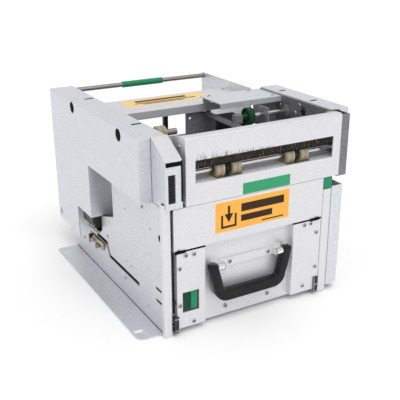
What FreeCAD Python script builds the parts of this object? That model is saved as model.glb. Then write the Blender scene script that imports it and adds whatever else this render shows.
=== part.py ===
import FreeCAD
import Part
import math
import os

# A banknote validator module: a narrow transport with a feed slot sits on a sheet-metal bay,
# and a removable reject bin slides into the bay from the front.
# Working axes, in millimetres: x runs right from the left side plate's outer face,
# y runs back from the front posts' front face, z runs up from the floor.
# The exported frame has the same directions, and its origin is the middle of the footprint.

SHEET = 1.5                    # thickness of every bent steel sheet
THIN = 1.2                     # thickness of the bin's lighter sheet
RUN = 0.05                     # radial clearance of a running fit
GAP = 0.4                      # clearance between bodies that pass each other

BAY_WIDTH = 240.0              # outer faces of the two side plates
BAY_DEPTH = 306.0
BAY_HEIGHT = 165.0             # top edge of the side plates
TOTAL_DEPTH = 333.0
TOP = 243.3                    # top face of the side covers
FLANGE_LEFT = -33.0            # outer edge of the left base flange
FLANGE_RIGHT = 258.0
COVER_RIGHT = 283.0            # outer face of the right cover
HANDLE_FRONT = -7.0
ORIGIN = FreeCAD.Vector((FLANGE_LEFT + COVER_RIGHT) / 2, (HANDLE_FRONT + TOTAL_DEPTH) / 2, 0)

SLOT_SPACING = 258.0           # between the base slots, front to back
SLOT_FRONT_Y = 31.0
SLOT_LEFT_X = -24.0
SLOT_RIGHT_X = 249.0
SLOT_LENGTH = 13.0
SLOT_WIDTH = 6.6

COVER_LEFT = -15.7             # outer face of the left cover
COVER_FRONT = 31.0
INNER_LEFT = 17.5              # outer face of the left transport plate
INNER_RIGHT = 253.0            # inner face of the right transport plate
DECK = BAY_HEIGHT + SHEET      # top face of the bay's roof, which carries the transport
PLATE_TOP = TOP - SHEET

PANEL_LEFT, PANEL_RIGHT = 27.0, 249.0
PANEL_FRONT = -0.5
PANEL_BOTTOM, PANEL_TOP = 164.9, 245.5
WINDOW_LEFT, WINDOW_RIGHT = 39.5, 236.5
WINDOW_BOTTOM, WINDOW_TOP = 190.8, 218.0

FEED_Y, FEED_Z = 17.0, 198.5   # axis of the front roller shaft
UPPER_Y, UPPER_Z = 84.0, 229.0
KNOB_Y, KNOB_Z = 122.0, 222.0
MOTOR_Y, MOTOR_Z = 150.0, 198.5
GATE_Y, GATE_Z = 112.0, 188.0
SHAFT_R = 4.0
MOTOR_TEETH, DRIVEN_TEETH = 16, 24
UPPER_TEETH = 20
FEED_KNOB_TEETH, KNOB_TEETH = 16, 24
TOOTH_PITCH = 2.032
PULLEY_WIDTH = 6.0
DRIVE_PLANE = 2.2              # left faces of the pulleys that the motor's belt joins
UPPER_PLANE = 9.4              # left faces of the pulleys that drive the upper roller
KNOB_PLANE = 257.0             # left faces of the pulleys that join the knob shaft
BELT_WIDTH = 3.4
BUSH_R = 6.5
ROLLER_R = 12.5
ROLLER_WIDTH = 12.0
ROLLERS_X = (77.0, 99.0, 177.0, 198.0)
KNOB_SHAFT_R = 3.0
GATE_SHAFT_R = 3.0
MOTOR_SHAFT_R = 2.5
ROD_Y, ROD_Z, ROD_R = 327.0, 238.0, 3.5   # the rear cross rod
TRAY_TOP, RAISED_TOP = 230.0, 240.5
LEVER_Y, LEVER_Z = 219.0, 45.0
BOARD = (226.0, 322.0, 172.0, 234.0)      # the control board's extent in y and z
BOARD_X = 8.0

BIN_LEFT, BIN_RIGHT = 10.5, 225.0
BIN_FRONT = -0.5
BIN_BACK = 286.0
BIN_BOTTOM = 6.0
BIN_TOP = 159.0
RECESS = 8.0                   # front face of the plate behind the handle
BLOCK_BOTTOM, BLOCK_TOP = 9.0, 109.5
LEFT_BLOCK = (14.0, 52.5)
RIGHT_BLOCK = (181.0, 225.0)
SEAM = 112.0                   # lower edge of the bin's upper front plate
SHELL_LEFT, SHELL_RIGHT = 19.5, 224.0
FRONT_LEFT = 11.5              # left edge of the plate behind the handle

HANDLE_Y, HANDLE_Z = -0.7, 79.0   # the handle's pivot
HANDLE_MIDDLE = 116.0
STRIP_FRONT = 5.2              # front face of the strip that carries the handle's knuckles
PIN_R = 2.5


def vec(x, y, z):
    return FreeCAD.Vector(x, y, z)


def box(x0, x1, y0, y1, z0, z1):
    return Part.makeBox(x1 - x0, y1 - y0, z1 - z0, vec(x0, y0, z0))


def rodX(y, z, r, x0, x1):
    return Part.makeCylinder(r, x1 - x0, vec(x0, y, z), vec(1, 0, 0))


def rodY(x, z, r, y0, y1):
    return Part.makeCylinder(r, y1 - y0, vec(x, y0, z), vec(0, 1, 0))


def rodZ(x, y, r, z0, z1):
    return Part.makeCylinder(r, z1 - z0, vec(x, y, z0), vec(0, 0, 1))


def slabX(outline, x0, x1):
    """A flat sheet from its (y, z) outline, between two x planes."""
    points = [vec(x0, y, z) for y, z in outline]
    return Part.Face(Part.makePolygon(points + points[:1])).extrude(vec(x1 - x0, 0, 0))


def slabY(outline, y0, y1):
    points = [vec(x, y0, z) for x, z in outline]
    return Part.Face(Part.makePolygon(points + points[:1])).extrude(vec(0, y1 - y0, 0))


def slabZ(outline, z0, z1):
    points = [vec(x, y, z0) for x, y in outline]
    return Part.Face(Part.makePolygon(points + points[:1])).extrude(vec(0, 0, z1 - z0))


def join(*shapes):
    whole = shapes[0].multiFuse(list(shapes[1:])) if len(shapes) > 1 else shapes[0]
    return whole.removeSplitter()


def slotX(x, y, length, width, z0, z1):
    """A round-ended cutter that is long in x and goes through in z."""
    reach = (length - width) / 2
    body = box(x - reach, x + reach, y - width / 2, y + width / 2, z0, z1)
    return join(body, rodZ(x - reach, y, width / 2, z0, z1), rodZ(x + reach, y, width / 2, z0, z1))


def slotY(y0, y1, z, width, x0, x1):
    """A round-ended cutter that is long in y and goes through in x."""
    body = box(x0, x1, y0 + width / 2, y1 - width / 2, z - width / 2, z + width / 2)
    ends = [rodX(y, z, width / 2, x0, x1) for y in (y0 + width / 2, y1 - width / 2)]
    return join(body, *ends)


def roundEdges(shape, radius, picks):
    """Rounds the edges whose middle lies at one of the picked points."""
    chosen = []
    for edge in shape.Edges:
        middle = edge.valueAt((edge.FirstParameter + edge.LastParameter) / 2)
        if any((middle - vec(*p)).Length < 0.2 for p in picks):
            chosen.append(edge)
    return shape.makeFillet(radius, chosen) if chosen else shape


def revolveX(outline, y, z):
    """Turns an (x, radius) outline about the x-wise axis through (y, z)."""
    points = [vec(x, y, z + r) for x, r in outline]
    return Part.Face(Part.makePolygon(points + points[:1])).revolve(vec(0, y, z), vec(1, 0, 0), 360)


def revolveY(outline, x, z):
    points = [vec(x + r, y, z) for y, r in outline]
    return Part.Face(Part.makePolygon(points + points[:1])).revolve(vec(x, 0, z), vec(0, 1, 0), 360)


def screwFront(x, z, face, radius=3.0, height=1.5, shank=1.4):
    """A pan-head screw seen from the front: a domed head with a cross recess, on a face at y."""
    dome = [(face, 0), (face - height, 0), (face - height, radius * 0.55)]
    dome += [(face - height * 0.62, radius * 0.86), (face - height * 0.2, radius), (face, radius)]
    head = revolveY(dome, x, z)
    arm, depth = radius * 0.28, height * 0.55
    for wide, high in ((radius * 0.6, arm * 0.5), (arm * 0.5, radius * 0.6)):
        front = face - height
        head = head.cut(box(x - wide, x + wide, front - 1, front + depth, z - high, z + high))
    return head


def screwLeft(y, z, face, radius=2.6, height=1.4):
    """The same screw on a face at x, with its head towards -x."""
    head = screwFront(0, 0, 0, radius, height)
    head.rotate(vec(0, 0, 0), vec(0, 0, 1), -90)
    head.translate(vec(face, y, z))
    return head


def screwTop(x, y, face, radius=2.6, height=1.3):
    """The same screw on a face at z, with its head up."""
    head = screwFront(0, 0, 0, radius, height)
    head.rotate(vec(0, 0, 0), vec(1, 0, 0), -90)
    head.translate(vec(x, y, face))
    return head


nodes = {}


def put(name, *solids):
    """Stores a node; several solids stay separate in one group."""
    nodes[name] = solids[0] if len(solids) == 1 else Part.makeCompound(list(solids))


# Bay: the lower sheet-metal frame

def guideSlot():
    """The stepped slot in the left side plate: a high rear run, a short drop and a long low front run."""
    width, x0, x1 = 6.0, -1, SHEET + 1
    high, low, drop = 54.0, 37.5, (181.0, 172.0)
    rear, front = 250.0, 76.5
    dy, dz = drop[0] - drop[1], high - low
    length = math.hypot(dy, dz)
    ny, nz = dz / length * width / 2, -dy / length * width / 2
    ramp = slabX([(drop[0] + ny, high + nz), (drop[0] - ny, high - nz),
                  (drop[1] - ny, low - nz), (drop[1] + ny, low + nz)], x0, x1)
    return join(slotY(drop[0] - width / 2, rear, high, width, x0, x1), ramp,
                slotY(front, drop[1] + width / 2, low, width, x0, x1))


def baseSlots(x):
    places = (SLOT_FRONT_Y, SLOT_FRONT_Y + SLOT_SPACING)
    return [slotX(x, y, SLOT_LENGTH, SLOT_WIDTH, -1, SHEET + 1) for y in places]


def makeLeftSidePlate():
    flangeFront, corner = 10.7, 11.0
    outline = [(SHEET, 0), (BAY_DEPTH, 0), (BAY_DEPTH, BAY_HEIGHT), (224, BAY_HEIGHT), (224, 60), (205, 60),
               (196, 68), (196, 88.5), (153, 102.5), (153, BAY_HEIGHT), (SHEET, BAY_HEIGHT)]
    wall = slabX(outline, 0, SHEET)
    flange = box(FLANGE_LEFT, SHEET / 2, flangeFront, BAY_DEPTH, 0, SHEET)
    flange = roundEdges(flange, corner, [(FLANGE_LEFT, flangeFront, SHEET / 2)])
    flange = roundEdges(flange, corner / 2, [(FLANGE_LEFT, BAY_DEPTH, SHEET / 2)])
    plate = join(wall, flange)
    cutters = baseSlots(SLOT_LEFT_X) + [guideSlot(), rodX(13.9, 126, 4.4, -1, 3)]
    cutters += [slotY(10.5, 28.5, z, 3.4, -1, 3) for z in (56.5, 40.2)]
    small = [(51, 20), (113.5, 129), (169, 90.5), (39.6, 128.8)]
    small += [(94, 91.5), (113.4, 55.1), (99.4, 54), (168, 20)]
    cutters += [rodX(y, z, 1.4, -1, 3) for y, z in small]
    return plate.cut(cutters[0].multiFuse(cutters[1:]))


def makeRightSidePlate():
    step = 190.0
    outline = [(SHEET, 0), (BAY_DEPTH, 0), (BAY_DEPTH, 150), (TOTAL_DEPTH, 175), (TOTAL_DEPTH, TOP - 1),
               (step, TOP - 1), (step, BAY_HEIGHT), (SHEET, BAY_HEIGHT)]
    wall = slabX(outline, BAY_WIDTH - SHEET, BAY_WIDTH)
    flange = box(BAY_WIDTH - SHEET / 2, FLANGE_RIGHT, 24, BAY_DEPTH, 0, SHEET)
    guide = box(226.5, BAY_WIDTH - SHEET, 30, 44, 150.5, 162).cut(box(228.9, 235.1, 29, 45, 153.9, 158.1))
    plate = join(wall, flange, guide)
    cutters = baseSlots(SLOT_RIGHT_X)
    small = [(210, 226), (236, 214), (262, 200), (290, 226)]
    cutters += [rodX(y, z, 1.6, BAY_WIDTH - 4, BAY_WIDTH + 2) for y, z in small]
    cutters += [rodX(ROD_Y, ROD_Z, ROD_R + 0.02, BAY_WIDTH - 4, BAY_WIDTH + 2)]
    return plate.cut(cutters[0].multiFuse(cutters[1:]))


def makePost(x0, x1, bottom, top, depth):
    """A front post: a strip with both long edges rolled back."""
    solid = box(x0, x1, 0, depth, bottom, top)
    middle = (bottom + top) / 2
    solid = roundEdges(solid, 2.6, [(x0, 0, middle), (x1, 0, middle)])
    hollow = box(x0 + SHEET, x1 - SHEET, SHEET, depth + 1, bottom - 1, top + 1)
    return solid.cut(hollow)


def makeRightChannel():
    bottom, top, depth = 8.7, 150.5, 190.0
    outline = [(BAY_WIDTH, 0), (FLANGE_RIGHT, 0), (FLANGE_RIGHT, depth), (FLANGE_RIGHT - SHEET, depth),
               (FLANGE_RIGHT - SHEET, SHEET), (BAY_WIDTH, SHEET)]
    channel = slabZ(outline, bottom, top)
    return roundEdges(channel, 1.2, [(FLANGE_RIGHT, 0, (bottom + top) / 2)])


def makeRoof():
    notch = 188.0
    outline = [(0, 12), (INNER_RIGHT + SHEET, 12), (INNER_RIGHT + SHEET, notch), (BAY_WIDTH - SHEET, notch),
               (BAY_WIDTH - SHEET, 262), (0, 262)]
    roof = slabZ(outline, BAY_HEIGHT, DECK)
    inlet = box(32, 222, 104, 134, BAY_HEIGHT - 1, DECK + 1)
    return roof.cut(inlet)


def makeRearPlate():
    """The cross plate at the back of the bay, which carries the docking connector."""
    y0 = 296.0
    plate = box(SHEET, BAY_WIDTH - SHEET, y0, y0 + SHEET, 8, 120)
    lips = [box(SHEET, BAY_WIDTH - SHEET, y0 + SHEET, y0 + 9, z, z + SHEET) for z in (8, 120 - SHEET)]
    plate = join(plate, *lips)
    return plate.cut(box(96, 144, y0 - 1, y0 + 3, 40, 62))


def makeRails():
    """Two angle rails that the bin slides on, with a low side guide each."""
    rails = []
    for x0, x1, wall in ((SHEET, 34, SHEET), (214, BAY_WIDTH - SHEET, BAY_WIDTH - 2 * SHEET)):
        shelf = box(x0, x1, 14, 292, 4.1, 5.6)
        side = box(wall, wall + SHEET, 14, 292, 5.6, 30)
        rails.append(join(shelf, side))
    return rails


put("left_side_plate", makeLeftSidePlate())
put("right_side_plate", makeRightSidePlate())
put("front_posts", makePost(-3, 8, 0, 172, 7), makePost(226.3, BAY_WIDTH, 1, 148.5, 7).cut(
    box(BAY_WIDTH - SHEET, BAY_WIDTH + 1, SHEET, 8, 0, 150)))
put("right_side_channel", makeRightChannel())
put("bay_roof_plate", makeRoof())
put("bay_rear_plate", makeRearPlate())
put("bin_rails", *makeRails())
put("docking_connector", join(box(97, 143, 291, 296, 41, 61), box(102, 138, 296, 303, 44, 58)))
put("microswitches", box(200, 212, 288.5, 296, 60, 80), box(168.5, 179, 118, 128, 215.5, 226))

# Transport: plates and covers

def shaftHoles(x0, x1, radius):
    places = ((FEED_Y, FEED_Z), (UPPER_Y, UPPER_Z), (KNOB_Y, KNOB_Z), (GATE_Y, GATE_Z))
    return [rodX(y, z, radius, x0, x1) for y, z in places]


def makeLeftTransportPlate():
    rear = TOTAL_DEPTH - SHEET
    outline = [(9, DECK), (rear, DECK), (rear, PLATE_TOP), (33, PLATE_TOP), (9, 228)]
    plate = slabX(outline, INNER_LEFT, INNER_LEFT + SHEET)
    cutters = shaftHoles(INNER_LEFT - 1, INNER_LEFT + 3, BUSH_R)
    cutters += [rodX(MOTOR_Y, MOTOR_Z, 9, INNER_LEFT - 1, INNER_LEFT + 3)]
    cutters += [rodX(ROD_Y, ROD_Z, ROD_R + 0.02, INNER_LEFT - 1, INNER_LEFT + 3)]
    return plate.cut(cutters[0].multiFuse(cutters[1:]))


def makeRightTransportPlate():
    plate = box(INNER_RIGHT, INNER_RIGHT + SHEET, 9, 187, DECK, PLATE_TOP)
    cutters = shaftHoles(INNER_RIGHT - 1, INNER_RIGHT + 3, BUSH_R)
    small = [(60, 205), (150, 212), (170, 196)]
    cutters += [rodX(y, z, 1.6, INNER_RIGHT - 1, INNER_RIGHT + 3) for y, z in small]
    return plate.cut(cutters[0].multiFuse(cutters[1:]))


def makeLeftCover():
    """A bent cover: an outer skin with a stepped lower edge, a top, and front and rear returns."""
    right = INNER_LEFT + SHEET
    lowFront, lowMiddle, lowRear = 165.8, 90.0, 39.5
    step1, step2, tabFront = 194.0, 258.0, 246.5
    outline = [(COVER_FRONT, TOP), (TOTAL_DEPTH, TOP), (TOTAL_DEPTH, lowRear + 4), (step2, lowRear + 4),
               (step2 - 3, lowRear), (tabFront + 3, lowRear), (tabFront, lowRear + 3), (tabFront, lowMiddle),
               (step1, lowMiddle), (step1, lowFront), (COVER_FRONT, lowFront)]
    skin = slabX(outline, COVER_LEFT, COVER_LEFT + SHEET)
    top = box(COVER_LEFT, right, COVER_FRONT, TOTAL_DEPTH, PLATE_TOP, TOP)
    front = box(COVER_LEFT, -GAP, COVER_FRONT, COVER_FRONT + SHEET, lowFront, TOP)
    rear = box(COVER_LEFT, right, TOTAL_DEPTH - SHEET, TOTAL_DEPTH, DECK, TOP)
    wallRight, wallTop = 17.0, BAY_HEIGHT - GAP
    wall = box(COVER_LEFT, wallRight, step1, step1 + SHEET, lowMiddle, wallTop)
    corner = box(COVER_LEFT, -GAP, step1, step1 + SHEET, wallTop, lowFront + 4)
    cover = join(skin, top, front, rear, wall, corner)
    cover = roundEdges(cover, 1.2, [(COVER_LEFT, (COVER_FRONT + TOTAL_DEPTH) / 2, TOP)])
    cutters = [rodX(y, 234.4, 7.8, COVER_LEFT - 1, COVER_LEFT + 2) for y in (86, 242)]
    cutters += [box(3.6, 16, y - 2.8, y + 2.8, PLATE_TOP - 1, TOP + 1) for y in (90, 242.5)]
    tri = [(318, 52), (324, 62), (326, 52)]
    cutters += [slabX(tri, COVER_LEFT - 1, COVER_LEFT + 2)]
    return cover.cut(cutters[0].multiFuse(cutters[1:]))


def makeColumn():
    """The left front column: a front face with a sensor window and a side wall under the sloped plate."""
    bottom, faceTop, front = 166.6, 221.5, -4.0
    right, postTop = 21.0, 173.0
    slope = (TOP - 2.6 - faceTop) / (COVER_FRONT - front)
    side = slabX([(front, bottom), (-GAP, bottom), (-GAP, postTop), (8, postTop), (8, DECK + 0.5),
                  (COVER_FRONT - GAP, DECK + 0.5),
                  (COVER_FRONT - GAP, faceTop + slope * (COVER_FRONT - front)), (front, faceTop)], 0, SHEET)
    face = box(0, right, front, front + SHEET, bottom, faceTop)
    face = face.cut(box(3.2, 12.4, front - 1, front + 3, 173.8, 207.6))
    column = join(side, face)
    return roundEdges(column, 1.2, [(0, front, (bottom + faceTop) / 2)])


def makeSlopedPlate():
    """The sloped cap between the column's face and the top of the left cover."""
    front, low, right = -4.0, 223.6, 21.0
    back = COVER_FRONT - GAP
    outline = [(front, low), (back, TOP - 0.1), (back, TOP - 1.9)]
    outline += [(front + 1.2, low - 1.2), (front, low - 1.2)]
    return slabX(outline, 0, right)


def makeRightCover():
    bottom, front, back = 168.0, 28.0, 187.0
    right = COVER_RIGHT
    left = INNER_RIGHT + SHEET
    top = box(left, right, front, back, PLATE_TOP, TOP)
    outer = box(right - SHEET, right, front, back, bottom + 14, TOP)
    face = box(268.5, right, front, front + SHEET, bottom, TOP)
    rear = box(left, right, back - SHEET, back, bottom + 14, TOP)
    cover = join(top, outer, face, rear)
    cover = roundEdges(cover, 1.2, [(right, (front + back) / 2, TOP)])
    cutters = [box(260.5, 272, y - 2.6, y + 2.6, PLATE_TOP - 1, TOP + 1) for y in (79.5, 150)]
    return cover.cut(cutters[0].multiFuse(cutters[1:]))


def makeRightColumn():
    front, right = 6.9, 267.5
    face = box(INNER_RIGHT - 2.2, right, front, front + SHEET, 160, 241)
    side = box(right - SHEET, right, front, 27.5, 160, 241)
    tongue = box(INNER_RIGHT - SHEET, INNER_RIGHT, front, 20, 226, 241)
    return join(face, side, tongue)


def makeFrontPanel():
    """The feed panel: a face with a long window, a lip folded back on top and a flank at each side."""
    back, foot, topBend = PANEL_FRONT + SHEET, DECK, 3.5
    face = box(PANEL_LEFT, PANEL_RIGHT, PANEL_FRONT, back, PANEL_BOTTOM, PANEL_TOP)
    lip = box(PANEL_LEFT, PANEL_RIGHT, PANEL_FRONT, 11, PANEL_TOP - SHEET, PANEL_TOP)
    flankLine = [(PANEL_FRONT, PANEL_BOTTOM), (back, PANEL_BOTTOM), (back, foot), (16, foot), (16, 172),
                 (8, 184), (8, 205), (29, 222), (29, 241.5), (11, PANEL_TOP), (PANEL_FRONT, PANEL_TOP)]
    flanks = [slabX(flankLine, x, x + SHEET) for x in (PANEL_LEFT, PANEL_RIGHT - SHEET)]
    panel = join(face, lip, *flanks)
    middleX = (PANEL_LEFT + PANEL_RIGHT) / 2
    middleZ = (PANEL_BOTTOM + PANEL_TOP) / 2
    panel = roundEdges(panel, topBend, [(middleX, PANEL_FRONT, PANEL_TOP)])
    panel = roundEdges(panel, topBend - SHEET, [(middleX, back, PANEL_TOP - SHEET)])
    sideZ = middleZ - topBend / 2
    panel = roundEdges(panel, 1.2, [(PANEL_LEFT, PANEL_FRONT, sideZ), (PANEL_RIGHT, PANEL_FRONT, sideZ)])
    return panel.cut(box(WINDOW_LEFT, WINDOW_RIGHT, PANEL_FRONT - 1, back + 1, WINDOW_BOTTOM, WINDOW_TOP))


put("left_transport_plate", makeLeftTransportPlate())
put("right_transport_plate", makeRightTransportPlate())
put("left_upper_cover", makeLeftCover())
put("left_column", makeColumn())
put("left_sloped_plate", makeSlopedPlate())
put("right_upper_cover", makeRightCover())
put("right_column", makeRightColumn())
put("upper_front_panel", makeFrontPanel())


def makeCrossTray():
    x0, x1, y0, y1, top = INNER_LEFT + SHEET, BAY_WIDTH - SHEET, 186.0, 262.0, TRAY_TOP
    sheet = box(x0, x1, y0, y1, top - SHEET, top)
    front = box(x0, x1, y0, y0 + SHEET, top - 10.5, top)
    rear = box(x0, x1, y1 - SHEET, y1, top - 14, top)
    ear = box(x0, x0 + SHEET, y0, y1, top - 22, top)
    return join(sheet, front, rear, ear)


def makeRaisedCover():
    x0, x1, y0, y1, top = 154.0, INNER_RIGHT, 134.0, 189.5, RAISED_TOP
    sheet = box(x0, x1, y0, y1, top - SHEET, top)
    front = box(x0, x1, y0, y0 + SHEET, top - 7.5, top)
    legs = [box(x, x + 12, y1 - SHEET, y1, TRAY_TOP, top) for x in (158, 210)]
    return join(sheet, front, *legs)


def makeInnerPlate():
    """The upright plate under the tray, with a bent right edge."""
    plate = box(132, 173, 192, 192 + SHEET, DECK, 228.5)
    edge = box(173 - SHEET, 173, 178, 192 + SHEET, DECK, 214)
    plate = join(plate, edge)
    holes = [(138, 219, 1.6), (145, 221, 2.6), (139, 210, 1.6), (157, 219, 1.5), (163, 216, 2.0)]
    for x, z, r in holes:
        plate = plate.cut(rodY(x, z, r, 190, 196))
    return plate


put("cross_tray", makeCrossTray())
put("raised_cover", makeRaisedCover())
rodEnds = (INNER_LEFT, BAY_WIDTH)
put("rear_cross_rod", rodX(ROD_Y, ROD_Z, ROD_R, *rodEnds))
put("rod_sleeve", rodX(ROD_Y, ROD_Z, ROD_R + 1.1, 96, 163).cut(rodX(ROD_Y, ROD_Z, ROD_R, 90, 170)))
put("centre_rail", join(box(157.5, 167.5, 96, 192, 214, 217), box(158.5, 166.5, 97, 103, 208, 214),
                        box(167.5, 179, 119, 127, 214, 215.5)))
lowerGuide = join(box(PANEL_LEFT + 2, PANEL_RIGHT - 2, 1.5, 100, 183.5, 185),
                  box(INNER_LEFT + SHEET, INNER_RIGHT, 34, 100, 183.5, 185),
                  box(PANEL_LEFT + 2, PANEL_RIGHT - 2, 98.5, 100, DECK, 183.5))
upperGuide = box(INNER_LEFT + SHEET, INNER_RIGHT, 34, 106, 206.5, 208).cut(box(51, 225, 61, 93, 200, 210))
feedTable = box(PANEL_LEFT + SHEET, PANEL_RIGHT - SHEET, 1.0, 33, 189, 190.5)
feedTable = feedTable.cut(box(69.5, 106.5, 3.5, 34, 188, 192)).cut(box(169.5, 205.5, 3.5, 34, 188, 192))
put("guide_plates", lowerGuide, upperGuide, feedTable)
put("sensor_heads", box(51, 225, 61, 93, 189, 212), box(51, 225, 56, 96, 169, 183.5))
columnSensor = join(box(3.4, 12.2, -2.2, 6, 174.5, 207),
                    *[box(4.2, 11.4, -3.2, -2.2, z, z + 1.2) for z in range(177, 205, 3)])
armSensor = join(box(96, 102, 187.6, 193, 178, 228.5), box(92, 106, 187.6, 193, 172, 178))
sideSensor = join(box(177, 205, 150, 186, DECK, 212), box(181, 201, 146, 150, 176, 206))
put("sensor_modules", columnSensor, armSensor, sideSensor)
put("brush_holder", box(WINDOW_LEFT - 6, WINDOW_RIGHT + 6, 1.0, 5.5, 219, 224))
put("brush_bristles", box(WINDOW_LEFT - 4, WINDOW_RIGHT + 4, 1.6, 3.6, 205, 219))
knobBracket = join(box(214, 214 + SHEET, 110, 146, 204, 232.5), box(214, INNER_RIGHT, 144.5, 146, 204, 232))
knobBracket = knobBracket.cut(rodX(KNOB_Y, KNOB_Z, 5.0, 210, 218))
put("inner_brackets", makeInnerPlate(), knobBracket)

# Drive: shafts, rollers, pulleys and belts

def pitchRadius(teeth):
    return teeth * TOOTH_PITCH / (2 * math.pi)


def makePulley(teeth, y, z, x0, bore):
    """A toothed belt pulley with two rims."""
    radius = pitchRadius(teeth) - 0.25
    body = rodX(y, z, radius, x0, x0 + PULLEY_WIDTH)
    grooves = []
    for k in range(teeth):
        angle = 2 * math.pi * k / teeth
        grooveY, grooveZ = y + radius * math.sin(angle), z + radius * math.cos(angle)
        grooves.append(rodX(grooveY, grooveZ, 0.5, x0, x0 + PULLEY_WIDTH))
    body = body.cut(grooves[0].multiFuse(grooves[1:]))
    rims = [rodX(y, z, radius + 1.3, x, x + 1) for x in (x0, x0 + PULLEY_WIDTH - 1)]
    return join(body, *rims).cut(rodX(y, z, bore, x0 - 1, x0 + PULLEY_WIDTH + 1))


def beltLoop(first, second, x0, extra):
    """The solid inside a belt line round two pulleys, each (teeth, y, z): two arcs and two straight runs."""
    r1, r2 = [pitchRadius(teeth) + extra for teeth, _, _ in (first, second)]
    (y1, z1), (y2, z2) = first[1:], second[1:]
    heading = math.atan2(z2 - z1, y2 - y1)
    lean = math.acos((r1 - r2) / math.hypot(y2 - y1, z2 - z1))

    def at(y, z, r, angle):
        return vec(x0, y + r * math.cos(angle), z + r * math.sin(angle))

    start, above = at(y1, z1, r1, heading + lean), at(y2, z2, r2, heading + lean)
    end, below = at(y1, z1, r1, heading - lean), at(y2, z2, r2, heading - lean)
    edges = [Part.LineSegment(start, above).toShape(),
             Part.Arc(above, at(y2, z2, r2, heading), below).toShape(),
             Part.LineSegment(below, end).toShape(),
             Part.Arc(end, at(y1, z1, r1, heading + math.pi), start).toShape()]
    return Part.Face(Part.Wire(edges)).extrude(vec(BELT_WIDTH, 0, 0))


def makeBelt(first, second, plane):
    x0 = plane + (PULLEY_WIDTH - BELT_WIDTH) / 2
    return beltLoop(first, second, x0, 1.2).cut(beltLoop(first, second, x0, 0.1))


def makeRoller(x, y, z, radius, width, bore):
    """A moulded roller: a rounded tread with a shallow middle groove and a recessed web on each side."""
    half = width / 2
    web = radius * 0.62
    side = [(half - 2.5, bore), (half - 2.5, web), (half, web), (half, radius - 1.2), (half - 1.2, radius),
            (1.6, radius), (1.0, radius - 0.9)]
    outline = [(x - dx, r) for dx, r in side] + [(x + dx, r) for dx, r in reversed(side)]
    return revolveX(outline, y, z)


def makeBush(x0, x1, y, z, bore, flangeX):
    """A flanged bush in a transport plate, with its flange on the plate's inner side."""
    sleeve = rodX(y, z, BUSH_R, x0, x1)
    flange = rodX(y, z, BUSH_R + 1.8, flangeX, flangeX + 1.2)
    return join(sleeve, flange).cut(rodX(y, z, bore, x0 - 3, x1 + 3))


put("front_roller_shaft", rodX(FEED_Y, FEED_Z, SHAFT_R, 1.9, 264.5))
put("front_rollers", *[makeRoller(x, FEED_Y, FEED_Z, ROLLER_R, ROLLER_WIDTH, SHAFT_R) for x in ROLLERS_X])
put("front_pulleys", makePulley(DRIVEN_TEETH, FEED_Y, FEED_Z, DRIVE_PLANE, SHAFT_R),
    makePulley(UPPER_TEETH, FEED_Y, FEED_Z, UPPER_PLANE, SHAFT_R),
    makePulley(FEED_KNOB_TEETH, FEED_Y, FEED_Z, KNOB_PLANE, SHAFT_R))
put("upper_shaft", rodX(UPPER_Y, UPPER_Z, SHAFT_R, 8.6, 60),
    makePulley(UPPER_TEETH, UPPER_Y, UPPER_Z, UPPER_PLANE, SHAFT_R))
put("upper_roller", makeRoller(38, UPPER_Y, UPPER_Z, 9.5, 13, SHAFT_R))
put("knob_shaft", rodX(KNOB_Y, KNOB_Z, KNOB_SHAFT_R, 181.4, 264.5),
    makePulley(KNOB_TEETH, KNOB_Y, KNOB_Z, KNOB_PLANE, KNOB_SHAFT_R))
put("motor_shaft", rodX(MOTOR_Y, MOTOR_Z, MOTOR_SHAFT_R, 1.6, 30),
    makePulley(MOTOR_TEETH, MOTOR_Y, MOTOR_Z, DRIVE_PLANE, MOTOR_SHAFT_R))


def makeKnob():
    """The green jam knob: a rim with finger flutes, a dished web and a hub."""
    x0, x1, rim = 186.0, 195.0, 12.0
    web, edge = x0 + 2.5, rim - 0.8
    outline = [(web, KNOB_SHAFT_R), (x0 - 2, KNOB_SHAFT_R), (x0 - 2, 5.5), (web, 6.2), (web, 9.4), (x0, 9.8)]
    outline += [(x0, edge), (x0 + 0.8, rim), (x1 - 0.8, rim), (x1, edge), (x1, KNOB_SHAFT_R)]
    knob = revolveX(outline, KNOB_Y, KNOB_Z)
    flutes = []
    for k in range(16):
        angle = 2 * math.pi * k / 16
        reach = rim + 0.6
        fluteY, fluteZ = KNOB_Y + reach * math.sin(angle), KNOB_Z + reach * math.cos(angle)
        flutes.append(rodX(fluteY, fluteZ, 1.3, x0 - 1, x1 + 1))
    return knob.cut(flutes[0].multiFuse(flutes[1:]))


def makeMotor():
    radius, x0, x1 = 16.5, INNER_LEFT + SHEET, 66.0
    can = rodX(MOTOR_Y, MOTOR_Z, radius, x0, x1)
    pilot = rodX(MOTOR_Y, MOTOR_Z, 8.9, INNER_LEFT - 0.8, x0)
    return join(can, pilot).cut(rodX(MOTOR_Y, MOTOR_Z, MOTOR_SHAFT_R + RUN, 0, 31))


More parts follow.
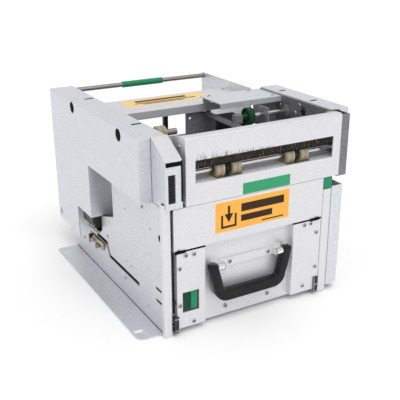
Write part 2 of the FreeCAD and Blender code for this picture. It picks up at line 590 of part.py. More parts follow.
put("jam_knob", makeKnob())
put("drive_motor", makeMotor())
put("timing_belts", makeBelt((DRIVEN_TEETH, FEED_Y, FEED_Z), (MOTOR_TEETH, MOTOR_Y, MOTOR_Z), DRIVE_PLANE),
    makeBelt((UPPER_TEETH, FEED_Y, FEED_Z), (UPPER_TEETH, UPPER_Y, UPPER_Z), UPPER_PLANE),
    makeBelt((FEED_KNOB_TEETH, FEED_Y, FEED_Z), (KNOB_TEETH, KNOB_Y, KNOB_Z), KNOB_PLANE))
leftBush = (INNER_LEFT, INNER_LEFT + SHEET)
rightBush = (INNER_RIGHT, INNER_RIGHT + SHEET)
put("shaft_bushes", *[
    makeBush(*leftBush, FEED_Y, FEED_Z, SHAFT_R + RUN, leftBush[1]),
    makeBush(*leftBush, UPPER_Y, UPPER_Z, SHAFT_R + RUN, leftBush[1]),
    makeBush(*leftBush, GATE_Y, GATE_Z, GATE_SHAFT_R + RUN, leftBush[1]),
    makeBush(*rightBush, FEED_Y, FEED_Z, SHAFT_R + RUN, rightBush[0] - 1.2),
    makeBush(*rightBush, KNOB_Y, KNOB_Z, KNOB_SHAFT_R + RUN, rightBush[0] - 1.2),
    makeBush(*rightBush, GATE_Y, GATE_Z, GATE_SHAFT_R + RUN, rightBush[0] - 1.2),
    rodX(KNOB_Y, KNOB_Z, 5.0, 214, 214 + SHEET).cut(rodX(KNOB_Y, KNOB_Z, KNOB_SHAFT_R + RUN, 210, 218))])
gateArm = box(256.5, 260.5, GATE_Y - 4, GATE_Y + 4, GATE_Z - 16, GATE_Z + 5)
put("gate_shaft", join(rodX(GATE_Y, GATE_Z, GATE_SHAFT_R, 16.5, 262), gateArm))
vaneTip = GATE_Y + 21
vaneRoot = GATE_Y + 1
vaneBottom = GATE_Z - 0.8
vaneLine = [(vaneRoot, vaneBottom), (vaneTip, vaneBottom), (vaneTip, GATE_Z + 0.4), (vaneRoot, GATE_Z + 2)]
vane = slabX(vaneLine, 33, 239)
put("gate_vane", vane.cut(rodX(GATE_Y, GATE_Z, GATE_SHAFT_R, 30, 245)))
gateSolenoid = join(box(255.5, 275, 128, 160, 168.5, 186), box(254.5, 255.5, 126, 162, 168.5, 188))
lockSolenoid = join(box(-8.9, 0, 199, 243, 71, 112), box(-10.2, -8.9, 203, 239, 76, 107))
put("solenoids", gateSolenoid, lockSolenoid)

# Controls, sensors and electronics

put("release_tab", join(box(226.1, 239.0, -0.6, 1.4, 149.6, 164.0), box(229, 235, 1.4, 60, 154, 158)))
lockBracket = join(box(-1.5, 0, 206, 232, 37, 50), box(-8, -1.5, 230.5, 232, 37, 50),
                   box(-8, -1.5, 206, 207.5, 37, 44))
lockPivot = join(rodX(LEVER_Y, LEVER_Z, 2.0, -7.2, -1.5), rodX(LEVER_Y, LEVER_Z, 3.4, -8.0, -7.2))
put("lock_bracket", lockBracket, lockPivot)
leverLine = [(LEVER_Y + 5, LEVER_Z - 5), (LEVER_Y + 5, LEVER_Z + 5), (LEVER_Y - 6, LEVER_Z + 5)]
leverLine += [(190, 52.5), (184, 50), (184, 44), (188, 44), (190, 47)]
leverLine += [(LEVER_Y - 8, LEVER_Z + 1), (LEVER_Y - 4, LEVER_Z - 5)]
lever = slabX(leverLine, -4.6, -2.4)
put("lock_lever", lever.cut(rodX(LEVER_Y, LEVER_Z, 2.05, -9, 0)))
parts = [(232, 262, 180, 204, 4.0), (272, 296, 178, 196, 2.2), (234, 252, 214, 228, 7.0)]
parts += [(264, 314, 216, 230, 8.0), (302, 316, 178, 206, 6.0)]
board = [box(BOARD_X, BOARD_X + 1.6, *BOARD)]
board += [box(BOARD_X - high, BOARD_X, y0, y1, z0, z1) for y0, y1, z0, z1, high in parts]
corners = [(y, z) for y in (BOARD[0] + 4, BOARD[1] - 4) for z in (BOARD[2] + 4, BOARD[3] - 4)]
put("control_board", join(*board), *[rodX(y, z, 2.5, BOARD_X + 1.6, INNER_LEFT) for y, z in corners])

# The removable reject bin

def makeBinShell():
    """The bin's body: bottom, sides, back and a top with the note inlet; the front plate closes it."""
    x0, x1 = SHELL_LEFT, SHELL_RIGHT
    front = RECESS + SHEET
    outer = box(x0, x1, front, BIN_BACK, BIN_BOTTOM, BIN_TOP)
    inner = box(x0 + THIN, x1 - THIN, front - 1, BIN_BACK - THIN, BIN_BOTTOM + THIN, BIN_TOP - THIN)
    inlet = box(36, 218, 102, 138, BIN_TOP - 4, BIN_TOP + 1)
    return outer.cut(inner).cut(inlet)


def makeBlock(x0, x1, window):
    """A sheet-metal housing that stands proud of the front plate, open at the back."""
    outer = box(x0, x1, BIN_FRONT, RECESS, BLOCK_BOTTOM, BLOCK_TOP)
    middle = (BLOCK_BOTTOM + BLOCK_TOP) / 2
    outer = roundEdges(outer, 0.9, [(x0, BIN_FRONT, middle), (x1, BIN_FRONT, middle)])
    bottom, top = BLOCK_BOTTOM + SHEET, BLOCK_TOP - SHEET
    inner = box(x0 + SHEET, x1 - SHEET, BIN_FRONT + SHEET, RECESS + 1, bottom, top)
    block = outer.cut(inner)
    if window:
        wx0, wx1, wz0, wz1 = window
        block = block.cut(box(wx0, wx1, BIN_FRONT - 1, BIN_FRONT + SHEET + 0.5, wz0, wz1))
        block = block.cut(rodX(4.6, 43, 2.7, x0 - 1, x0 + SHEET + 1))
    return block


def makeUpperFront():
    face = box(BIN_LEFT, BIN_RIGHT, BIN_FRONT, BIN_FRONT + SHEET, SEAM, 164.4)
    foot = box(BIN_LEFT, BIN_RIGHT, BIN_FRONT, RECESS, SEAM, SEAM + SHEET)
    upright = box(FRONT_LEFT + THIN, SHELL_RIGHT - THIN, RECESS, RECESS + SHEET, SEAM, BIN_TOP - THIN)
    head = box(BIN_LEFT, BIN_RIGHT, BIN_FRONT, 11, 164.4 - SHEET, 164.4)
    return join(face, foot, upright, head)


put("bin_front_plate", box(FRONT_LEFT, SHELL_RIGHT, RECESS, RECESS + SHEET, BIN_BOTTOM, SEAM))
put("bin_upper_front", makeUpperFront())
put("bin_left_block", makeBlock(*LEFT_BLOCK, (21.0, 43.6, 29.3, 56.3)))
clipNotch = box(218.9, RIGHT_BLOCK[1] + 1, BIN_FRONT - 1, RECESS + 1, BLOCK_BOTTOM - 1, 24.4)
put("bin_right_block", makeBlock(*RIGHT_BLOCK, None).cut(clipNotch))
put("bin_shutter", join(box(33, 220, 141, 179, BIN_TOP - 4.2, BIN_TOP - 3.0),
                        box(38, 215, 141, 142.2, BIN_TOP - 9, BIN_TOP - 4.2)))


def makeRunner(shelfX0, shelfX1, wallX):
    """An angle under the bin's top that the shutter slides on."""
    z0 = BIN_TOP - 6.2
    shelf = box(shelfX0, shelfX1, 98, 182, z0, z0 + THIN)
    return join(shelf, box(wallX, wallX + THIN, 98, 182, z0, BIN_TOP - THIN))


put("bin_shell", makeBinShell(), makeRunner(28, 35.5, 28), makeRunner(217.5, 223 - THIN, 223 - 2 * THIN))
latch = join(box(17.5, 41.5, 3.0, 6.2, 31, 55), box(33.5, 41.5, 1.4, 3.0, 31, 55))
put("bin_latch", join(latch, rodX(4.6, 43, 2.2, 12, 17.5)))
strip = box(64, 168, STRIP_FRONT, RECESS, 74, 84)
knuckleX = ((68.0, 78.0), (154.0, 164.0))
knuckles = [join(box(x0, x1, HANDLE_Y, STRIP_FRONT, HANDLE_Z - 4.5, HANDLE_Z + 4.5),
                 rodX(HANDLE_Y, HANDLE_Z, 4.5, x0, x1)) for x0, x1 in knuckleX]
bracket = join(strip, *knuckles)
put("handle_bracket", bracket.cut(rodX(HANDLE_Y, HANDLE_Z, PIN_R + RUN, 60, 172)))


def makeHandle():
    """A tapered U-shaped carrying handle that hangs from its two upper ends."""
    top, bottom, front, back = HANDLE_Z + 5.0, 31.5, -7.0, 4.4
    outerTop, outerBottom, innerTop, innerBottom = 60.5, 52.0, 48.6, 40.0
    barTop = 47.0
    cx = HANDLE_MIDDLE
    shoulder = HANDLE_Z - 7
    leftHalf = [(-innerTop, top), (-outerTop, top), (-outerBottom, bottom)]
    inside = [(innerTop, top), (innerTop, shoulder), (innerBottom, barTop)]
    outline = leftHalf + [(-x, z) for x, z in reversed(leftHalf[1:])] + inside
    outline += [(-x, z) for x, z in reversed(inside[1:])]
    outline = [(cx + x, z) for x, z in outline]
    handle = slabY(outline, front, back)
    middle = (front + back) / 2
    handle = roundEdges(handle, 17, [(cx - outerBottom, middle, bottom), (cx + outerBottom, middle, bottom)])
    handle = roundEdges(handle, 5, [(cx - innerBottom, middle, barTop), (cx + innerBottom, middle, barTop)])
    ends = [((cx + s * outerTop + cx + s * innerTop) / 2, y, top) for s in (-1, 1) for y in (front, back)]
    handle = roundEdges(handle, 4.2, ends)
    return handle


handle = makeHandle()
pins = [(60.5, 78.2), (153.8, 171.5)]
pinRods = [rodX(HANDLE_Y, HANDLE_Z, PIN_R, x0, x1) for x0, x1 in pins]
put("bin_handle", handle.cut(pinRods[0].fuse(pinRods[1])))
put("handle_pins", *pinRods)
frontScrews = [(25.8, 104.7), (36.8, 104.1), (17.4, 89.2), (17.3, 40.2), (36.1, 14.3),
               (198.3, 105.6), (208.1, 105.8), (217.9, 91.5), (219.0, 42), (200, 18.2)]
binScrews = [screwFront(x, z, BIN_FRONT, 2.6, 1.3) for x, z in frontScrews]
binScrews += [screwFront(x, z, RECESS, 2.8, 1.4) for x, z in ((85.5, 17), (149.3, 17))]
binScrews += [screwFront(x, z, STRIP_FRONT, 2.6, 1.3) for x, z in ((90, 79), (146.5, 79))]
put("bin_screws", *binScrews)


def makeClip(x0, x1, lapX0, lapX1):
    """A black spring clip on a lower outer corner of the bin's front, with a leaf over the block."""
    body = box(lapX0, lapX1, -2.4, -0.9, 5.6, 26.4).fuse(box(x0, x1, -0.9, RECESS - 0.2, 21.5, 24))
    foot = box(x0, x1, -0.9, RECESS - 0.2, 6.0, 8.0)
    tongue = box(x0, x1, -0.9, 4.0, 14.2, 15.8)
    return join(body, foot, tongue).cut(box(x0 + 1.4, x1 - 1.4, -3, -0.5, 9.5, 12.5))


def makeKnuckle(x0, x1, rollX):
    """A black hinge knuckle in the gap over a block."""
    roll = rodX(0.6, BLOCK_TOP + 1.1, 1.3, rollX, rollX + 6)
    leaf = box(x0, x1, -1.2, 6, BLOCK_TOP + 0.1, SEAM - 0.3)
    return join(leaf, roll.common(box(x0, x1, -3, 6, BLOCK_TOP, SEAM - 0.3)))


put("bin_clips", makeClip(9.0, 13.7, 9.0, 15.4), makeClip(219.2, 224.4, 217.6, 224.4),
    makeKnuckle(10.0, 27.0, 19.0), makeKnuckle(205.0, 222.0, 205.5))

# Fasteners

sideScrews = [screwLeft(y, z, 0, 2.2, 1.1) for y, z in ((176, 66.5), (60, 150), (120, 28), (270, 28))]
put("frame_screws", *sideScrews, screwLeft(14.1, 232.7, PANEL_LEFT, 2.8, 1.5),
    *[screwLeft(y, z, INNER_RIGHT, 2.4, 1.3) for y, z in ((136, 228), (100, 224), (92, 236))],
    *[screwTop(x, y, TRAY_TOP, 2.4, 1.2) for x, y in ((26, 194), (26, 252), (230, 196), (230, 252))],
    *[screwTop(x, y, RAISED_TOP, 2.4, 1.2) for x, y in ((164, 182), (230, 182), (244, 142))])

os.makedirs("parts", exist_ok=True)
whole = Part.makeCompound(list(nodes.values())).BoundBox
print("nodes", len(nodes), "origin", ORIGIN)
print("box", [round(v, 3) for v in (whole.XMin, whole.XMax, whole.YMin, whole.YMax, whole.ZMin, whole.ZMax)])
for name, shape in nodes.items():
    placed = shape.copy()
    placed.translate(-ORIGIN)
    if not placed.isValid() or placed.Volume <= 0:
        print("CHECK", name, placed.isValid(), placed.Volume)
    placed.exportStep("parts/" + name + ".step")
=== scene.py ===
import bpy
import bmesh
import math
import random
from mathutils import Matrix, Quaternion, Vector


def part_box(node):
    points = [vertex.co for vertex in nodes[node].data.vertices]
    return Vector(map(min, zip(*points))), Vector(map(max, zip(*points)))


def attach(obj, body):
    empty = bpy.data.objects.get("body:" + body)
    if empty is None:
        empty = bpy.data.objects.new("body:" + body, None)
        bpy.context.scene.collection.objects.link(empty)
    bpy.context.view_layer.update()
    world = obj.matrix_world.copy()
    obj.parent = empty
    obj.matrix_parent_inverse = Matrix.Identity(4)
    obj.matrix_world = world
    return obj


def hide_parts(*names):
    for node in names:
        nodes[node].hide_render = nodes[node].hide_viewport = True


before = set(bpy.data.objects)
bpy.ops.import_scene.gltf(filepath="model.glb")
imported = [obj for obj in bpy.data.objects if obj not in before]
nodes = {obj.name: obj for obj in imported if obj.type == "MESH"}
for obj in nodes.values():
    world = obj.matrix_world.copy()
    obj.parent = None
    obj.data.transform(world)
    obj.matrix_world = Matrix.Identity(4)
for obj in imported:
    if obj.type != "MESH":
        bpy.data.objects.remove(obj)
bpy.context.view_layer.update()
mm = 0.001

# camera, lights and floor

cameraSetup = {"place": (-0.44217, -0.80160, 0.45765), "azimuth": -29.59, "elevation": 21.39, "roll": -0.23,
               "lens": 62.2}


def makeCamera(setup):
    azimuth, elevation = math.radians(setup["azimuth"]), math.radians(setup["elevation"])
    back = Vector((math.sin(azimuth) * math.cos(elevation), -math.cos(azimuth) * math.cos(elevation),
                   math.sin(elevation)))
    data = bpy.data.cameras.new("camera")
    data.lens = setup["lens"]
    data.sensor_width = 36
    camera = bpy.data.objects.new("camera", data)
    camera.location = setup["place"]
    camera.rotation_mode = "QUATERNION"
    roll = Quaternion((0, 0, 1), math.radians(setup["roll"]))
    camera.rotation_quaternion = (-back).to_track_quat("-Z", "Y") @ roll
    bpy.context.scene.collection.objects.link(camera)
    bpy.context.scene.camera = camera


lightSetup = {"from": (-0.06, -0.50, 0.86), "strength": 1.2, "softness": 40, "world": 0.78,
              "floor": (0.97, 0.97, 0.97)}


def makeLights(setup):
    data = bpy.data.lights.new("softKey", "SUN")
    data.energy = setup["strength"]
    data.angle = math.radians(setup["softness"])
    lamp = bpy.data.objects.new("softKey", data)
    lamp.rotation_euler = (-Vector(setup["from"])).to_track_quat("-Z", "Y").to_euler()
    bpy.context.scene.collection.objects.link(lamp)
    world = bpy.data.worlds.new("studio")
    world.use_nodes = True
    world.node_tree.nodes["Background"].inputs["Color"].default_value = (1, 1, 1, 1)
    world.node_tree.nodes["Background"].inputs["Strength"].default_value = setup["world"]
    bpy.context.scene.world = world
    bpy.context.scene.view_settings.view_transform = "Standard"


def makeFloor(shade):
    mesh = bpy.data.meshes.new("floor")
    reach = 12.0
    mesh.from_pydata([(-reach, -reach, 0), (reach, -reach, 0), (reach, reach, 0), (-reach, reach, 0)], [],
                     [(0, 1, 2, 3)])
    floor = bpy.data.objects.new("floor", mesh)
    floor.location.z = -0.2 * mm
    bpy.context.scene.collection.objects.link(floor)
    material = bpy.data.materials.new("floorPaint")
    material.use_nodes = True
    shader = material.node_tree.nodes["Principled BSDF"]
    shader.inputs["Base Color"].default_value = (*shade, 1)
    shader.inputs["Roughness"].default_value = 0.8
    mesh.materials.append(material)


makeCamera(cameraSetup)
makeLights(lightSetup)
makeFloor(lightSetup["floor"])
print("camera, light and floor ready")

# shader node groups that several finishes share


def newGroup(name, inputs, outputs):
    group = bpy.data.node_groups.new(name, "ShaderNodeTree")
    for label, kind, value in inputs:
        socket = group.interface.new_socket(label, in_out="INPUT", socket_type=kind)
        socket.default_value = value
    for label, kind in outputs:
        group.interface.new_socket(label, in_out="OUTPUT", socket_type=kind)
    return group, group.nodes.new("NodeGroupInput"), group.nodes.new("NodeGroupOutput")


def mathNode(tree, operation, *values):
    node = tree.nodes.new("ShaderNodeMath")
    node.operation = operation
    for index, value in enumerate(values):
        if isinstance(value, (int, float)):
            node.inputs[index].default_value = value
        else:
            tree.links.new(value, node.inputs[index])
    return node.outputs[0]


def mixColour(tree, factor, first, second, blend="MIX"):
    node = tree.nodes.new("ShaderNodeMix")
    node.data_type = "RGBA"
    node.blend_type = blend
    for socket, value in ((node.inputs[0], factor), (node.inputs[6], first), (node.inputs[7], second)):
        if isinstance(value, bpy.types.NodeSocket):
            tree.links.new(value, socket)
        elif isinstance(value, (int, float)):
            socket.default_value = value
        else:
            socket.default_value = (*value[:3], 1)
    return node.outputs[2]


def rangeNode(tree, value, low, high, newLow=0.0, newHigh=1.0):
    node = tree.nodes.new("ShaderNodeMapRange")
    tree.links.new(value, node.inputs["Value"])
    node.inputs["From Min"].default_value = low
    node.inputs["From Max"].default_value = high
    node.inputs["To Min"].default_value = newLow
    node.inputs["To Max"].default_value = newHigh
    return node.outputs[0]


# edge mask from the bevel normal, broken up by noise: it lightens edges toward the edge colour, partly as
# real rubbed wear and partly as painted highlight
def edgeWearAndHighlight():
    group, start, end = newGroup("edgeWearAndHighlight", [("Width", "NodeSocketFloat", 0.0006),
                                              ("Breakup", "NodeSocketFloat", 900.0)],
                                 [("Mask", "NodeSocketFloat")])
    bevel = group.nodes.new("ShaderNodeBevel")
    bevel.samples = 4
    group.links.new(start.outputs["Width"], bevel.inputs["Radius"])
    surface = group.nodes.new("ShaderNodeNewGeometry")
    dot = group.nodes.new("ShaderNodeVectorMath")
    dot.operation = "DOT_PRODUCT"
    group.links.new(bevel.outputs["Normal"], dot.inputs[0])
    group.links.new(surface.outputs["Normal"], dot.inputs[1])
    edge = rangeNode(group, dot.outputs["Value"], 0.995, 0.86)
    place = group.nodes.new("ShaderNodeTexCoord")
    noise = group.nodes.new("ShaderNodeTexNoise")
    group.links.new(place.outputs["Object"], noise.inputs["Vector"])
    group.links.new(start.outputs["Breakup"], noise.inputs["Scale"])
    broken = rangeNode(group, noise.outputs["Fac"], 0.35, 0.6, 0.35, 1.0)
    group.links.new(mathNode(group, "MULTIPLY", edge, broken), end.inputs["Mask"])
    return group


def metalSpangle():
    group, start, end = newGroup(
        "metalSpangle",
        [("Crystal", "NodeSocketFloat", 260.0), ("Grain", "NodeSocketFloat", 1600.0),
         ("Cloud", "NodeSocketFloat", 14.0)],
        [("Tint", "NodeSocketFloat"), ("Rough", "NodeSocketFloat"), ("Height", "NodeSocketFloat")])
    place = group.nodes.new("ShaderNodeTexCoord").outputs["Object"]

    def pattern(kind, socket, detail=2.0):
        node = group.nodes.new(kind)
        group.links.new(place, node.inputs["Vector"])
        group.links.new(start.outputs[socket], node.inputs["Scale"])
        if "Detail" in node.inputs:
            node.inputs["Detail"].default_value = detail
        return node

    crystal = pattern("ShaderNodeTexVoronoi", "Crystal", 0.0)
    flake = group.nodes.new("ShaderNodeSeparateColor")
    group.links.new(crystal.outputs["Color"], flake.inputs[0])
    grain = pattern("ShaderNodeTexNoise", "Grain", 3.0).outputs["Fac"]
    cloud = pattern("ShaderNodeTexNoise", "Cloud", 4.0).outputs["Fac"]
    flakePart = mathNode(group, "MULTIPLY", flake.outputs[0], 0.26)
    grainPart = mathNode(group, "MULTIPLY", grain, 0.60)
    cloudPart = mathNode(group, "MULTIPLY", cloud, 0.14)
    total = mathNode(group, "ADD", mathNode(group, "ADD", flakePart, grainPart), cloudPart)
    group.links.new(total, end.inputs["Tint"])
    group.links.new(mathNode(group, "MULTIPLY_ADD", cloud, 0.6,
                             mathNode(group, "MULTIPLY", flake.outputs[1], 0.4)),
                    end.inputs["Rough"])
    group.links.new(grain, end.inputs["Height"])
    return group


def brushedGrain():
    group, start, end = newGroup("brushedGrain", [("Stretch", "NodeSocketVector", (60.0, 3000.0, 3000.0))],
                                 [("Tint", "NodeSocketFloat"), ("Height", "NodeSocketFloat")])
    place = group.nodes.new("ShaderNodeTexCoord").outputs["Object"]
    scaled = group.nodes.new("ShaderNodeVectorMath")
    scaled.operation = "MULTIPLY"
    group.links.new(place, scaled.inputs[0])
    group.links.new(start.outputs["Stretch"], scaled.inputs[1])
    noise = group.nodes.new("ShaderNodeTexNoise")
    noise.inputs["Scale"].default_value = 1.0
    noise.inputs["Detail"].default_value = 3.0
    group.links.new(scaled.outputs[0], noise.inputs["Vector"])
    group.links.new(noise.outputs["Fac"], end.inputs["Tint"])
    group.links.new(noise.outputs["Fac"], end.inputs["Height"])
    return group


def dustFilm():
    group, start, end = newGroup("dustFilm", [("Patch", "NodeSocketFloat", 30.0),
                                              ("Speck", "NodeSocketFloat", 700.0)],
                                 [("Mask", "NodeSocketFloat")])
    place = group.nodes.new("ShaderNodeTexCoord").outputs["Object"]
    layers = []
    for socket in ("Patch", "Speck"):
        noise = group.nodes.new("ShaderNodeTexNoise")
        group.links.new(place, noise.inputs["Vector"])
        group.links.new(start.outputs[socket], noise.inputs["Scale"])
        layers.append(noise.outputs["Fac"])
    patch = rangeNode(group, layers[0], 0.35, 0.75)
    speck = rangeNode(group, layers[1], 0.45, 0.7)
    group.links.new(mathNode(group, "MULTIPLY", patch, mathNode(group, "MULTIPLY_ADD", speck, 0.6, 0.4)),
                    end.inputs["Mask"])
    return group


edgeWearAndHighlightGroup, spangleGroup, brushedGroup, dustGroup = edgeWearAndHighlight(), metalSpangle(), brushedGrain(), dustFilm()
print("shared shader groups ready")

# finishes


def useGroup(tree, group, **values):
    node = tree.nodes.new("ShaderNodeGroup")
    node.node_tree = group
    for label, value in values.items():
        node.inputs[label].default_value = value
    return node.outputs


def startFinish(name, metallic, coat=0.0):
    material = bpy.data.materials.new(name)
    material.use_nodes = True
    tree = material.node_tree
    shader = tree.nodes["Principled BSDF"]
    shader.inputs["Metallic"].default_value = metallic
    shader.inputs["Coat Weight"].default_value = coat
    return material, tree, shader


def addBump(tree, shader, height, strength, distance):
    bump = tree.nodes.new("ShaderNodeBump")
    bump.inputs["Strength"].default_value = strength
    bump.inputs["Distance"].default_value = distance
    tree.links.new(height, bump.inputs["Height"])
    tree.links.new(bump.outputs["Normal"], shader.inputs["Normal"])


def sheetFinish(name, setup):
    material, tree, shader = startFinish(name, setup["metallic"])
    spangle = useGroup(tree, spangleGroup, Crystal=setup["crystal"], Grain=setup["grain"],
                       Cloud=setup["cloud"])
    wearAndHighlight = useGroup(tree, edgeWearAndHighlightGroup, Width=setup["wearAndHighlightWidth"])
    dust = useGroup(tree, dustGroup)
    shade = mixColour(tree, rangeNode(tree, spangle["Tint"], 0.3, 0.7), setup["dark"], setup["light"])
    shade = mixColour(tree, mathNode(tree, "MULTIPLY", dust["Mask"], setup["dust"]), shade,
                      setup["dustColour"])
    # edges lightened toward the edge colour: real wear and painted highlight
    shade = mixColour(tree, mathNode(tree, "MULTIPLY", wearAndHighlight["Mask"], 0.55), shade, setup["edge"])
    tree.links.new(shade, shader.inputs["Base Color"])
    rough = rangeNode(tree, spangle["Rough"], 0.2, 0.8, setup["rough"][0], setup["rough"][1])
    tree.links.new(rough, shader.inputs["Roughness"])
    addBump(tree, shader, spangle["Height"], setup["bump"], 0.00005)
    return material


def brushedFinish(name, setup):
    material, tree, shader = startFinish(name, setup["metallic"])
    grain = useGroup(tree, brushedGroup, Stretch=setup["stretch"])
    wearAndHighlight = useGroup(tree, edgeWearAndHighlightGroup, Width=0.0003)
    dust = useGroup(tree, dustGroup)
    shade = mixColour(tree, rangeNode(tree, grain["Tint"], 0.3, 0.7), setup["dark"], setup["light"])
    shade = mixColour(tree, mathNode(tree, "MULTIPLY", dust["Mask"], 0.12), shade, (0.30, 0.28, 0.25))
    # edges lightened toward the edge colour: real wear and painted highlight
    shade = mixColour(tree, mathNode(tree, "MULTIPLY", wearAndHighlight["Mask"], 0.5), shade, setup["edge"])
    tree.links.new(shade, shader.inputs["Base Color"])
    tree.links.new(rangeNode(tree, grain["Tint"], 0.3, 0.7, *setup["rough"]), shader.inputs["Roughness"])
    addBump(tree, shader, grain["Height"], 0.15, 0.00003)
    return material


def mouldedFinish(name, setup):
    material, tree, shader = startFinish(name, 0.0, setup.get("coat", 0.0))
    shader.inputs["Specular IOR Level"].default_value = setup.get("shine", 0.5)
    spangle = useGroup(tree, spangleGroup, Crystal=900.0, Grain=setup["grain"], Cloud=25.0)
    wearAndHighlight = useGroup(tree, edgeWearAndHighlightGroup, Width=0.0005)
    dust = useGroup(tree, dustGroup)
    shade = mixColour(tree, rangeNode(tree, spangle["Tint"], 0.3, 0.7), setup["dark"], setup["light"])
    shade = mixColour(tree, mathNode(tree, "MULTIPLY", dust["Mask"], setup["dust"]), shade,
                      (0.42, 0.41, 0.40))
    # edges lightened toward the edge colour: real wear and painted highlight
    shade = mixColour(tree, mathNode(tree, "MULTIPLY", wearAndHighlight["Mask"], setup["wearAndHighlight"]), shade, setup["edge"])
    tree.links.new(shade, shader.inputs["Base Color"])
    tree.links.new(rangeNode(tree, spangle["Rough"], 0.2, 0.8, *setup["rough"]), shader.inputs["Roughness"])
    addBump(tree, shader, spangle["Height"], setup["bump"], 0.00006)
    return material


